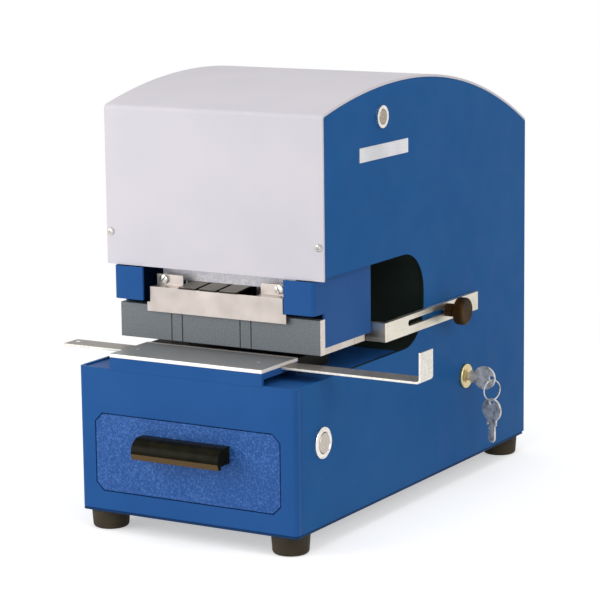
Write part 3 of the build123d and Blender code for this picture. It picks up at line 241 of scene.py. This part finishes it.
def brushed_metal(name, dark, light, along, roughness=0.3, line_mm=0.35):
    """Sheet metal brushed along one axis: fine parallel lines that blur reflections."""
    material, tree, output, place = new_material(name)
    stretch = [60 if axis == along else 1 for axis in "XYZ"]
    lines = grain(tree, place, line_mm, stretch, detail=3.0)
    patches = grain(tree, place, 30)
    shade = add(tree, "ShaderNodeMath", {0: lines, 1: patches}, operation="ADD").outputs[0]
    half = add(tree, "ShaderNodeMath", {0: shade, 1: 0.5}, operation="MULTIPLY").outputs[0]
    finish_with(tree, output, {
        "Base Color": between(tree, half, 0.38, 0.62, dark, light),
        "Metallic": 1.0,
        "Roughness": level(tree, lines, roughness - 0.05, roughness + 0.1),
        "Normal": bumped(tree, lines, 0.006),
    })
    return material


def dull_faced_plate(
    name, axis, sign, dull, bright, speckle_mm, roughness, bare_ends_mm=0, rear_highlight_mm=None
):
    """Plate with one dull, speckled face towards sign along axis, and ground bright edges.

    The face was anodised or blackened before the edges were ground. Where bare_ends_mm is
    given, only the ends further out than that along X are bright. Where a rear width is
    given, the face is painted bright as well behind that Y: a painted highlight on the rear edge.
    """
    material, tree, output, place = new_material(name)
    speckle = grain(tree, place, speckle_mm, detail=3.0)
    covered = add(
        tree,
        "ShaderNodeMapRange",
        {"Value": facing(tree, axis), "From Min": 0.85 * sign, "From Max": 0.95 * sign},
    ).outputs["Result"]
    if bare_ends_mm:
        along = add(tree, "ShaderNodeSeparateXYZ", {"Vector": place}).outputs["X"]
        reach = add(tree, "ShaderNodeMath", {0: along}, operation="ABSOLUTE").outputs[0]
        inside = add(
            tree, "ShaderNodeMath", {0: reach, 1: bare_ends_mm * mm}, operation="LESS_THAN"
        ).outputs[0]
        covered = add(
            tree, "ShaderNodeMath", {0: covered, 1: inside}, operation="MAXIMUM"
        ).outputs[0]
    if rear_highlight_mm is not None:
        depth = add(tree, "ShaderNodeSeparateXYZ", {"Vector": place}).outputs["Y"]
        ahead = add(
            tree, "ShaderNodeMath", {0: depth, 1: rear_highlight_mm * mm}, operation="LESS_THAN"
        ).outputs[0]
        covered = add(
            tree, "ShaderNodeMath", {0: covered, 1: ahead}, operation="MULTIPLY"
        ).outputs[0]
    face = between(tree, speckle, 0.36, 0.64, *dull)
    ground = between(tree, speckle, 0.36, 0.64, *bright)
    colour = add(
        tree, "ShaderNodeMix", {"Factor": covered, "A": ground, "B": face}, data_type="RGBA"
    )
    finish_with(tree, output, {
        "Base Color": colour.outputs["Result"],
        "Metallic": 0.5,
        "Roughness": level(tree, speckle, roughness - 0.06, roughness + 0.08),
        "Normal": bumped(tree, speckle, 0.02, 0.5),
    })
    return material


def turned_metal(name, dark, light, axis_point, roughness=0.22):
    """Metal faced on a lathe: fine rings round the spindle, which lies along X."""
    material, tree, output, place = new_material(name)
    centred = add(
        tree,
        "ShaderNodeMapping",
        {"Vector": place, "Location": [-c for c in axis_point]},
    ).outputs["Vector"]
    flat = add(
        tree, "ShaderNodeVectorMath", {0: centred, 1: (0, 1, 1)}, operation="MULTIPLY"
    ).outputs["Vector"]
    reach = add(tree, "ShaderNodeVectorMath", {0: flat}, operation="LENGTH").outputs["Value"]
    rings = add(
        tree,
        "ShaderNodeTexNoise",
        {"W": reach, "Scale": 1000 / 0.5, "Detail": 2.0},
        noise_dimensions="1D",
    ).outputs["Fac"]
    finish_with(tree, output, {
        "Base Color": between(tree, rings, 0.35, 0.65, dark, light),
        "Metallic": 1.0,
        "Roughness": level(tree, rings, roughness - 0.06, roughness + 0.1),
        "Normal": bumped(tree, rings, 0.01, 0.6),
    })
    return material


def plated_metal(name, dark, light, roughness=0.15, handling_mm=3.0, metallic=1.0):
    """Plated brass or steel: smooth and bright, with faint handling marks.

    Below 1, metallic stands for a plating that has gone milky and scatters light.
    """
    material, tree, output, place = new_material(name)
    marks = grain(tree, place, handling_mm, detail=4.0)
    finish_with(tree, output, {
        "Base Color": between(tree, marks, 0.35, 0.65, dark, light),
        "Metallic": metallic,
        "Roughness": level(tree, marks, roughness - 0.05, roughness + 0.1),
        "Normal": bumped(tree, marks, 0.01, 0.4),
    })
    return material


def moulded_phenolic(name, dark, light, underlight_colour, roughness=0.2, specular=0.07):
    """Compression-moulded phenolic: brown-black and glossy, with painted light underneath.

    Faces that look downwards get a lighter brown: painted light, the bright floor reflected there.
    """
    material, tree, output, place = new_material(name)
    wave = grain(tree, place, 12, detail=1.0)
    # Mask for the painted light: faces that look downwards.
    under = add(
        tree,
        "ShaderNodeMapRange",
        {"Value": facing(tree, "Z"), "From Min": -0.12, "From Max": -0.24},
    ).outputs["Result"]
    colour = add(
        tree,
        "ShaderNodeMix",
        {"Factor": under, "A": between(tree, wave, 0.35, 0.65, dark, light), "B": underlight_colour},
        data_type="RGBA",
    )
    finish_with(tree, output, {
        "Base Color": colour.outputs["Result"],
        "Roughness": level(tree, grain(tree, place, 5), roughness - 0.03, roughness + 0.08),
        "Normal": bumped(tree, wave, 0.04, 0.3),
        "Specular IOR Level": specular,
    })
    return material


def moulded_rubber(name, dark, light, roughness=0.7):
    """Moulded rubber: matt, finely pitted and greyer where dust settles on it."""
    material, tree, output, place = new_material(name)
    pits = grain(tree, place, 0.9, detail=3.0)
    finish_with(tree, output, {
        "Base Color": between(tree, grain(tree, place, 14), 0.35, 0.65, dark, light),
        "Roughness": level(tree, pits, roughness - 0.08, roughness + 0.12),
        "Normal": bumped(tree, pits, 0.05, 0.5),
        "Specular IOR Level": 0.3,
    })
    return material


def cast_surface(name, dark, light, roughness=0.55):
    """Primed casting: a sand-cast skin of small lumps under thin paint."""
    material, tree, output, place = new_material(name)
    skin = grain(tree, place, 1.8, detail=3.0)
    finish_with(tree, output, {
        "Base Color": between(tree, skin, 0.35, 0.65, dark, light),
        "Metallic": 0.2,
        "Roughness": level(tree, skin, roughness - 0.08, roughness + 0.1),
        "Normal": bumped(tree, skin, 0.12, 0.6),
    })
    return material


def mid(node):
    """The middle of a CAD node's box."""
    low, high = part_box(node)
    return (low + high) / 2


blue_coat = powder_coat("blue_powder_coat", "#20528F", "#255693")
# Painted shade: the panels' cut edges in the throat are painted #232C27, as dark as the shaded
# throat.
panel_coat = panel_coat_with_throat_shade(
    "blue_panel_coat", "#15548F", "#195893", "#232C27", (-140, 130), (14, 214)
)
plinth_coat = powder_coat("shaded_blue_coat", "#14335A", "#183963", roughness=0.5)
# Painted shade: the throat liner is painted near-black for the dark shade inside the throat.
throat_shade_coat = powder_coat("throat_painted_shade_coat", "#1E2622", "#29322D", 1.2, 0.08, 0.6)
grey_coat = powder_coat("grey_fine_texture", "#D0CCD3", "#D4D0D6", 1.1, 0.03, 0.55)
# The light colour is partly painted highlight on the hammer finish's worms.
drawer_paint = hammer_paint("blue_hammer_paint", "#204E90", "#4674B8")
stop_stainless = brushed_metal("milled_stainless", "#CFC9BB", "#E9E3D5", "Y", 0.34)
backing_steel = plated_metal("frosted_backing_steel", "#E2E0F2", "#FFFFFF", 0.45, 1.6, 0.05)
table_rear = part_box("table_plate")[1].y / mm
# Painted highlight: the top's rear 4.5 mm is painted bright, for the bright line along the table's
# rear edge.
rear_highlight_strip = 4.5
table_metal = dull_faced_plate(
    "ground_table_steel", "Z", 1, ("#858789", "#989A9C"), ("#DDD6D0", "#F0EAE5"), 0.9, 0.42,
    rear_highlight_mm=table_rear - rear_highlight_strip,
)
guard_steel = plated_metal("satin_guard_steel", "#B5ACA6", "#C5BCB6", 0.34, 26.0, 0.8)
gauge_steel = dull_faced_plate(
    "dull_topped_gauge_steel", "Z", 1, ("#77726C", "#938E87"), ("#DAD6CD", "#F0ECE4"), 2.0, 0.4
)
front_metal = dull_faced_plate(
    "grey_anodised_plate", "Y", -1, ("#63686C", "#757A7E"), ("#D9CFC6", "#ECE3DA"), 1.3, 0.55, 92.5
)
ground_steel = brushed_metal("ground_steel", "#B9B1A8", "#DCD3CA", "X", 0.35)
tool_steel = brushed_metal("blackened_tool_steel", "#2A2621", "#3A352F", "X", 0.45)
# Painted shade: the slides' sides are painted near-black for the dark gaps between them; the
# bronze-grey is their tops.
slide_steel = dull_faced_plate(
    "bronze_grey_slide_steel", "Z", 0.9, ("#8B8477", "#A8A193"), ("#25211C", "#35302A"), 0.8, 0.4
)
# The third colour is painted light: the lighter brown of faces that look down, for the floor's
# light on the handle's lip.
phenolic = moulded_phenolic("brown_black_phenolic", "#121108", "#1B190D", "#5C4A32", 0.24, 0.04)
# Here too the third colour is painted light on faces that look downwards.
knob_phenolic = moulded_phenolic(
    "knob_phenolic_painted_underlight", "#2B1D0A", "#412C0F", "#3A2812", 0.3, 0.05
)
nylon = moulded_phenolic("black_nylon", "#17181A", "#202124", "#17181A", 0.4)
rubber = moulded_rubber("foot_rubber", "#2D2619", "#393021")
belt_rubber = moulded_rubber("belt_rubber", "#161616", "#222222")
cast_iron = cast_surface("primed_cast_iron", "#4A4F54", "#5B6167")
motor_enamel = cast_surface("motor_enamel", "#2F3639", "#3B4347", 0.4)
lock_brass = turned_metal("turned_brass", "#BDAA77", "#E8D7A7", mid("lock_body"))
bezel_chrome = plated_metal("chromed_bezel", "#D8D3CB", "#F3EFE8", 0.2)
start_steel = turned_metal("turned_start_button", "#AAA196", "#CEC6BB", mid("start_button_cap"))
reset_steel = turned_metal("turned_reset_button", "#8F8579", "#B5AA9D", mid("reset_button_cap"))
key_nickel = plated_metal("nickel_plate", "#A8A5A0", "#E8E5DF", 0.28, 5.0, 0.35)
zinc = plated_metal("zinc_plate", "#B4B2AE", "#DAD8D2", 0.3)
white_zinc = plated_metal("white_zinc_plate", "#D9D7D3", "#F3F1EE", 0.35, 3.0, 0.3)
satin_plate = brushed_metal("satin_aluminium_plate", "#CBCBCF", "#E2E2E5", "Y", 0.4)
bright_bar = plated_metal("bright_steel_bar", "#BDBDBB", "#DEDEDA", 0.2)

finish_of = {
    "left_side_panel": panel_coat, "right_side_panel": panel_coat, "front_cover": grey_coat,
    "rear_panel": blue_coat, "case_screws": zinc, "bottom_plate": plinth_coat,
    "base_front_panel": blue_coat, "base_deck": blue_coat, "throat_liner": throat_shade_coat,
    "rubber_feet": rubber, "foot_screws": zinc, "table_riser": blue_coat,
    "table_plate": table_metal, "table_screws": zinc, "die_plate": tool_steel,
    "bed_block": cast_iron, "left_frame_plate": cast_iron, "right_frame_plate": cast_iron,
    "shaft_bearings": ground_steel, "guide_plate": ground_steel, "guide_columns": bright_bar,
    "stripper_needle_plate": ground_steel, "stripper_bars": ground_steel,
    "stripper_front_plate": front_metal, "punch_shroud": blue_coat,
    "motor_shelf": ground_steel, "gearmotor": motor_enamel, "drive_belt": belt_rubber,
    "power_inlet": nylon, "nameplate": satin_plate, "button_bodies": bezel_chrome,
    "lock_body": lock_brass, "drawer_rails": zinc, "clamp_stud": zinc,
    "drawer_front": drawer_paint, "drawer_tray": ground_steel, "drawer_handle": phenolic,
    "handle_screws": zinc, "depth_stop_bar": stop_stainless, "clamp_knob": knob_phenolic,
    "side_gauge_strip": gauge_steel, "start_button_cap": start_steel,
    "reset_button_cap": reset_steel, "lock_plug": lock_brass, "key": key_nickel,
    "key_ring": key_nickel, "spare_key": key_nickel, "eccentric_shaft": ground_steel,
    "drive_pulley": ground_steel, "motor_pulley": ground_steel, "ram_block": ground_steel,
    "ram_yoke": ground_steel, "ram_front_plate": backing_steel, "guard_plate": guard_steel,
    "guard_screws": zinc, "needle_cassettes": tool_steel, "cassette_pin": bright_bar,
    "selector_slide_1": slide_steel, "selector_slide_2": slide_steel,
    "selector_slide_3": slide_steel,
}
for name, material in finish_of.items():
    cad[name].data.materials.clear()
    cad[name].data.materials.append(material)


# ---------------------------------------------------------------- pieces in place of CAD nodes
body_of = {
    "drawer_front": "drawer", "drawer_handle": "drawer", "depth_stop_bar": "depth_stop",
    "clamp_knob": "clamp_knob", "side_gauge_strip": "side_gauge", "key": "key_switch",
    "key_ring": "key_ring", "spare_key": "spare_key", "guard_plate": "ram",
    "guard_screws": "ram", "ram_front_plate": "ram",
}


def smooth_shaded(mesh, sharp_above=35):
    """Smooth shading, but for edges that turn by more than sharp_above degrees."""
    mesh.polygons.foreach_set("use_smooth", [True] * len(mesh.polygons))
    mesh.set_sharp_from_angle(angle=radians(sharp_above))


def placed(mesh, name, node, material):
    """An object for mesh that stands for a CAD node and moves with its body."""
    mesh.materials.clear()
    mesh.materials.append(material)
    piece = bpy.data.objects.new(name, mesh)
    bpy.context.scene.collection.objects.link(piece)
    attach(piece, body_of.get(node, "housing"))
    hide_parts(node)
    return piece


def made_plain(piece, name):
    """The evaluated mesh of piece, after which piece is removed."""
    graph = bpy.context.evaluated_depsgraph_get()
    mesh = bpy.data.meshes.new_from_object(piece.evaluated_get(graph))
    mesh.name = name
    bpy.data.objects.remove(piece)
    return mesh


def merged_copy(node):
    """A bmesh of a CAD node with its loose triangles joined and its flat faces made whole."""
    shape = bmesh.new()
    shape.from_mesh(cad[node].data)
    bmesh.ops.remove_doubles(shape, verts=shape.verts, dist=0.002 * mm)
    bmesh.ops.dissolve_limit(
        shape, angle_limit=radians(0.5), verts=shape.verts, edges=shape.edges
    )
    return shape


def eased(node, width_mm):
    """The node with its sharp edges eased, as a file or a press brake leaves them."""
    shape = merged_copy(node)
    mesh = bpy.data.meshes.new(node + "_eased")
    shape.to_mesh(mesh)
    shape.free()
    blank = bpy.data.objects.new(node + "_blank", mesh)
    bpy.context.scene.collection.objects.link(blank)
    bevel = blank.modifiers.new("ease", "BEVEL")
    bevel.width = width_mm * mm
    bevel.segments = 3
    bevel.limit_method = "ANGLE"
    bevel.angle_limit = radians(50)
    smooth_shaded(mesh)
    blank.modifiers.new("even", "WEIGHTED_NORMAL")
    result = made_plain(blank, node + "_eased")
    return placed(result, node + "_eased", node, finish_of[node])


for name, width in (
    ("front_cover", 0.35), ("drawer_front", 0.4), ("drawer_handle", 0.5),
    ("table_plate", 0.3), ("guard_plate", 0.25), ("side_gauge_strip", 0.25),
    ("depth_stop_bar", 0.4), ("stripper_front_plate", 0.25), ("key", 0.35),
    ("spare_key", 0.35), ("punch_shroud", 0.3), ("base_front_panel", 0.4),
):
    eased(name, width)


def rimmed_plate(node, rim_mm, deep_mm):
    """The bare name plate: its face lies a little below a narrow bright rim."""
    low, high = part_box(node)
    shape = bmesh.new()
    rings = []
    for x, inset in (
        (low.x, 0),
        (high.x, 0),
        (high.x, rim_mm * mm),
        (high.x - deep_mm * mm, (rim_mm + deep_mm) * mm),
    ):
        near_y, far_y = low.y + inset, high.y - inset
        under, over = low.z + inset, high.z - inset
        corners = (near_y, under), (far_y, under), (far_y, over), (near_y, over)
        rings.append([shape.verts.new((x, y, z)) for y, z in corners])
    shape.faces.new(reversed(rings[0]))
    shape.faces.new(rings[-1])
    for ring, following in zip(rings, rings[1:]):
        for i in range(4):
            j = (i + 1) % 4
            shape.faces.new((ring[i], ring[j], following[j], following[i]))
    bmesh.ops.recalc_face_normals(shape, faces=shape.faces)
    mesh = bpy.data.meshes.new(node + "_rimmed")
    shape.to_mesh(mesh)
    shape.free()
    return placed(mesh, node + "_rimmed", node, finish_of[node])


rimmed_plate("nameplate", 0.7, 0.25)


# ---------------------------------------------------------------- screws by Geometry Nodes
def screw_tree(name, slots):
    """Geometry Nodes that put a slotted or cross-slotted screw head on each point.

    A point's "way" is the direction that its head faces, and its "turn" is its slot's angle.
    """
    tree = bpy.data.node_groups.new(name, "GeometryNodeTree")
    tree.interface.new_socket("Points", in_out="INPUT", socket_type="NodeSocketGeometry")
    for label in ("Head Radius", "Head Height", "Crown", "Slot Width", "Slot Length", "Slot Depth"):
        tree.interface.new_socket(label, in_out="INPUT", socket_type="NodeSocketFloat")
    tree.interface.new_socket("Finish", in_out="INPUT", socket_type="NodeSocketMaterial")
    tree.interface.new_socket("Screws", in_out="OUTPUT", socket_type="NodeSocketGeometry")
    sizes = add(tree, "NodeGroupInput").outputs

    head = add(
        tree,
        "GeometryNodeMeshCylinder",
        {
            "Vertices": 32,
            "Side Segments": 1,
            "Fill Segments": 6,
            "Radius": sizes["Head Radius"],
            "Depth": sizes["Head Height"],
        },
        fill_type="TRIANGLE_FAN",
    ).outputs["Mesh"]
    spot = add(tree, "GeometryNodeInputPosition").outputs["Position"]
    parts = add(tree, "ShaderNodeSeparateXYZ", {"Vector": spot}).outputs
    flat = add(tree, "ShaderNodeCombineXYZ", {"X": parts["X"], "Y": parts["Y"]}).outputs[0]
    reach = add(tree, "ShaderNodeVectorMath", {0: flat}, operation="LENGTH").outputs["Value"]
    share = add(
        tree, "ShaderNodeMath", {0: reach, 1: sizes["Head Radius"]}, operation="DIVIDE"
    ).outputs[0]
    fall = add(tree, "ShaderNodeMath", {0: share, 1: 3.0}, operation="POWER").outputs[0]
    drop = add(
        tree, "ShaderNodeMath", {0: fall, 1: sizes["Crown"]}, operation="MULTIPLY"
    ).outputs[0]
    down = add(tree, "ShaderNodeMath", {0: drop, 1: -1.0}, operation="MULTIPLY").outputs[0]
    above = add(tree, "FunctionNodeCompare", {0: parts["Z"], 1: 0.0}).outputs["Result"]
    offset = add(tree, "ShaderNodeCombineXYZ", {"Z": down}).outputs[0]
    crowned = add(
        tree,
        "GeometryNodeSetPosition",
        {"Geometry": head, "Selection": above, "Offset": offset},
    ).outputs["Geometry"]

    half = add(
        tree, "ShaderNodeMath", {0: sizes["Head Height"], 1: 0.5}, operation="MULTIPLY"
    ).outputs[0]
    deep = add(
        tree, "ShaderNodeMath", {0: sizes["Slot Depth"], 1: 2.0}, operation="MULTIPLY"
    ).outputs[0]
    size = add(
        tree,
        "ShaderNodeCombineXYZ",
        {"X": sizes["Slot Length"], "Y": sizes["Slot Width"], "Z": deep},
    ).outputs[0]
    cutter = add(tree, "GeometryNodeMeshCube", {"Size": size}).outputs["Mesh"]
    top = add(tree, "ShaderNodeCombineXYZ", {"Z": half}).outputs[0]
    cut = crowned
    for slot in range(slots):
        knife = add(
            tree,
            "GeometryNodeTransform",
            {"Geometry": cutter, "Translation": top, "Rotation": (0, 0, slot * pi / 2)},
        ).outputs["Geometry"]
        cut = add(
            tree,
            "GeometryNodeMeshBoolean",
            {"Mesh 1": cut, "Mesh 2": knife},
            operation="DIFFERENCE",
            solver="EXACT",
        ).outputs["Mesh"]
    seated = add(
        tree, "GeometryNodeTransform", {"Geometry": cut, "Translation": top}
    ).outputs["Geometry"]

    way = add(
        tree, "GeometryNodeInputNamedAttribute", {"Name": "way"}, data_type="FLOAT_VECTOR"
    ).outputs["Attribute"]
    turn = add(
        tree, "GeometryNodeInputNamedAttribute", {"Name": "turn"}, data_type="FLOAT"
    ).outputs["Attribute"]
    spin = add(tree, "ShaderNodeCombineXYZ", {"Z": turn}).outputs[0]
    aimed = add(
        tree, "FunctionNodeAlignRotationToVector", {"Vector": way}, axis="Z"
    ).outputs["Rotation"]
    turned = add(
        tree,
        "FunctionNodeRotateRotation",
        {"Rotation": aimed, "Rotate By": spin},
        rotation_space="LOCAL",
    ).outputs["Rotation"]
    heads = add(
        tree,
        "GeometryNodeInstanceOnPoints",
        {"Points": sizes["Points"], "Instance": seated, "Rotation": turned},
    ).outputs["Instances"]
    real = add(tree, "GeometryNodeRealizeInstances", {"Geometry": heads}).outputs["Geometry"]
    done = add(
        tree, "GeometryNodeSetMaterial", {"Geometry": real, "Material": sizes["Finish"]}
    ).outputs["Geometry"]
    add(tree, "NodeGroupOutput", {"Screws": done})
    return tree


def put_screws(node, tree, places, material, sizes_mm):
    """Screws at places, each a point in mm, the way its head faces and its slot's angle."""
    points = bpy.data.meshes.new(node + "_points")
    points.from_pydata([[c * mm for c in place] for place, way, turn in places], [], [])
    points.attributes.new("way", "FLOAT_VECTOR", "POINT")
    points.attributes.new("turn", "FLOAT", "POINT")
    for i, (place, way, turn) in enumerate(places):
        points.attributes["way"].data[i].vector = way
        points.attributes["turn"].data[i].value = radians(turn)
    holder = bpy.data.objects.new(node + "_points", points)
    bpy.context.scene.collection.objects.link(holder)
    screws = holder.modifiers.new("screws", "NODES")
    screws.node_group = tree
    for item in tree.interface.items_tree:
        if item.in_out == "INPUT" and item.name in sizes_mm:
            screws[item.identifier] = sizes_mm[item.name] * mm
        if item.in_out == "INPUT" and item.name == "Finish":
            screws[item.identifier] = material
    mesh = made_plain(holder, node + "_heads")
    smooth_shaded(mesh)
    return placed(mesh, node + "_heads", node, material)


cross_slots = screw_tree("cross_slot_screws", 2)
one_slot = screw_tree("one_slot_screws", 1)
case_screw_radius = 3.0
case_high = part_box("case_screws")[1] / mm
front, back, up = (0, -1, 0), (0, 1, 0), (0, 0, 1)
rear_y = 196.5
top_screw_z = case_high.z - case_screw_radius
put_screws(
    "case_screws",
    cross_slots,
    [((-96, -156, 235), front, 20), ((96, -156, 235), front, 65)]
    + [
        ((x, rear_y, z), back, 15 + 40 * i)
        for i, (x, z) in enumerate(
            (x, z) for x in (-91, 91) for z in (30, 133, top_screw_z)
        )
    ],
    zinc,
    {"Head Radius": case_screw_radius, "Head Height": 1.6, "Crown": 0.9,
     "Slot Width": 0.8, "Slot Length": 3.4, "Slot Depth": 1.0},
)
guard_low, guard_high = (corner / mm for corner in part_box("guard_screws"))
guard_radius = 3.75
guard_head = 2.6
guard_y = guard_low.y + guard_head
guard_z = (guard_low.z + guard_high.z) / 2
put_screws(
    "guard_screws",
    one_slot,
    [
        ((guard_low.x + guard_radius, guard_y, guard_z), front, 52),
        ((guard_high.x - guard_radius, guard_y, guard_z), front, -64),
    ],
    zinc,
    {"Head Radius": guard_radius, "Head Height": guard_head, "Crown": 0.5,
     "Slot Width": 1.1, "Slot Length": 9.0, "Slot Depth": 1.3},
)
table_low, table_high = (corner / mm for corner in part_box("table_screws"))
table_radius = 1.5
table_head = 0.6
table_z = table_high.z - table_head
put_screws(
    "table_screws",
    one_slot,
    [
        ((-60, table_low.y + table_radius, table_z), up, 30),
        ((52, table_low.y + table_radius, table_z), up, 75),
        ((-3, table_high.y - table_radius, table_z), up, -20),
    ],
    white_zinc,
    {"Head Radius": table_radius, "Head Height": table_head, "Crown": 0.05,
     "Slot Width": 0.45, "Slot Length": 3.4, "Slot Depth": 0.35},
)


# ---------------------------------------------------------------- floor and light
def white_floor():
    """A pale floor that the camera sees as white, except in the machine's shadow."""
    mesh = bpy.data.meshes.new("floor")
    reach = 12.0
    mesh.from_pydata(
        [(-reach, -reach, 0), (reach, -reach, 0), (reach, reach, 0), (-reach, reach, 0)],
        [],
        [(0, 1, 2, 3)],
    )
    floor = bpy.data.objects.new("floor", mesh)
    bpy.context.scene.collection.objects.link(floor)
    material, tree, output, place = new_material("white_floor")
    path = add(tree, "ShaderNodeLightPath")
    seen = add(
        tree,
        "ShaderNodeMath",
        {0: path.outputs["Is Camera Ray"], 1: path.outputs["Is Glossy Ray"]},
        operation="MAXIMUM",
    ).outputs[0]
    paper = add(tree, "ShaderNodeBsdfDiffuse", {"Color": "#EDEDED"})
    glow = add(tree, "ShaderNodeEmission", {"Color": "#FFFFFF", "Strength": 0.45})
    both = add(tree, "ShaderNodeAddShader", {0: paper.outputs[0], 1: glow.outputs[0]})
    white = add(tree, "ShaderNodeEmission", {"Color": "#FFFFFF", "Strength": 1.0})
    away = add(tree, "ShaderNodeVectorMath", {0: place}, operation="LENGTH").outputs["Value"]
    far = add(
        tree, "ShaderNodeMapRange", {"Value": away, "From Min": 0.28, "From Max": 0.7}
    ).outputs["Result"]
    faded = add(tree, "ShaderNodeMixShader", {0: far, 1: both.outputs[0], 2: white.outputs[0]})
    shown = add(
        tree, "ShaderNodeMixShader", {0: seen, 1: paper.outputs[0], 2: faded.outputs[0]}
    )
    tree.links.new(shown.outputs[0], output.inputs["Surface"])
    mesh.materials.append(material)


def white_world():
    """Plain light from all round, and a white backdrop where it is seen or reflected."""
    world = bpy.data.worlds.new("studio")
    bpy.context.scene.world = world
    world.use_nodes = True
    tree = world.node_tree
    tree.nodes.clear()
    path = add(tree, "ShaderNodeLightPath")
    seen = add(
        tree,
        "ShaderNodeMath",
        {0: path.outputs["Is Camera Ray"], 1: path.outputs["Is Glossy Ray"]},
        operation="MAXIMUM",
    ).outputs[0]
    seen = add(
        tree,
        "ShaderNodeMath",
        {0: seen, 1: path.outputs["Is Transmission Ray"]},
        operation="MAXIMUM",
    ).outputs[0]
    light = add(tree, "ShaderNodeBackground", {"Color": "#FFFFFF", "Strength": 0.55})
    backdrop = add(tree, "ShaderNodeBackground", {"Color": "#FFFFFF", "Strength": 1.0})
    mixed = add(
        tree, "ShaderNodeMixShader", {0: seen, 1: light.outputs[0], 2: backdrop.outputs[0]}
    )
    output = add(tree, "ShaderNodeOutputWorld")
    tree.links.new(mixed.outputs[0], output.inputs["Surface"])


bpy.context.scene.view_settings.view_transform = "Standard"
photo_camera()
white_world()
white_floor()
middle = (0, 0, 0.16)
softbox("front_softbox", (-0.85, -1.1, 0.55), middle, 0.8, 7.2)
softbox("low_softbox", (-0.35, -2.1, 0.2), middle, 0.9, 5)
softbox("top_softbox", (0.2, -0.2, 2.0), middle, 1.2, 7)
softbox("side_softbox", (2.4, -0.9, 1.3), middle, 1.4, 18)
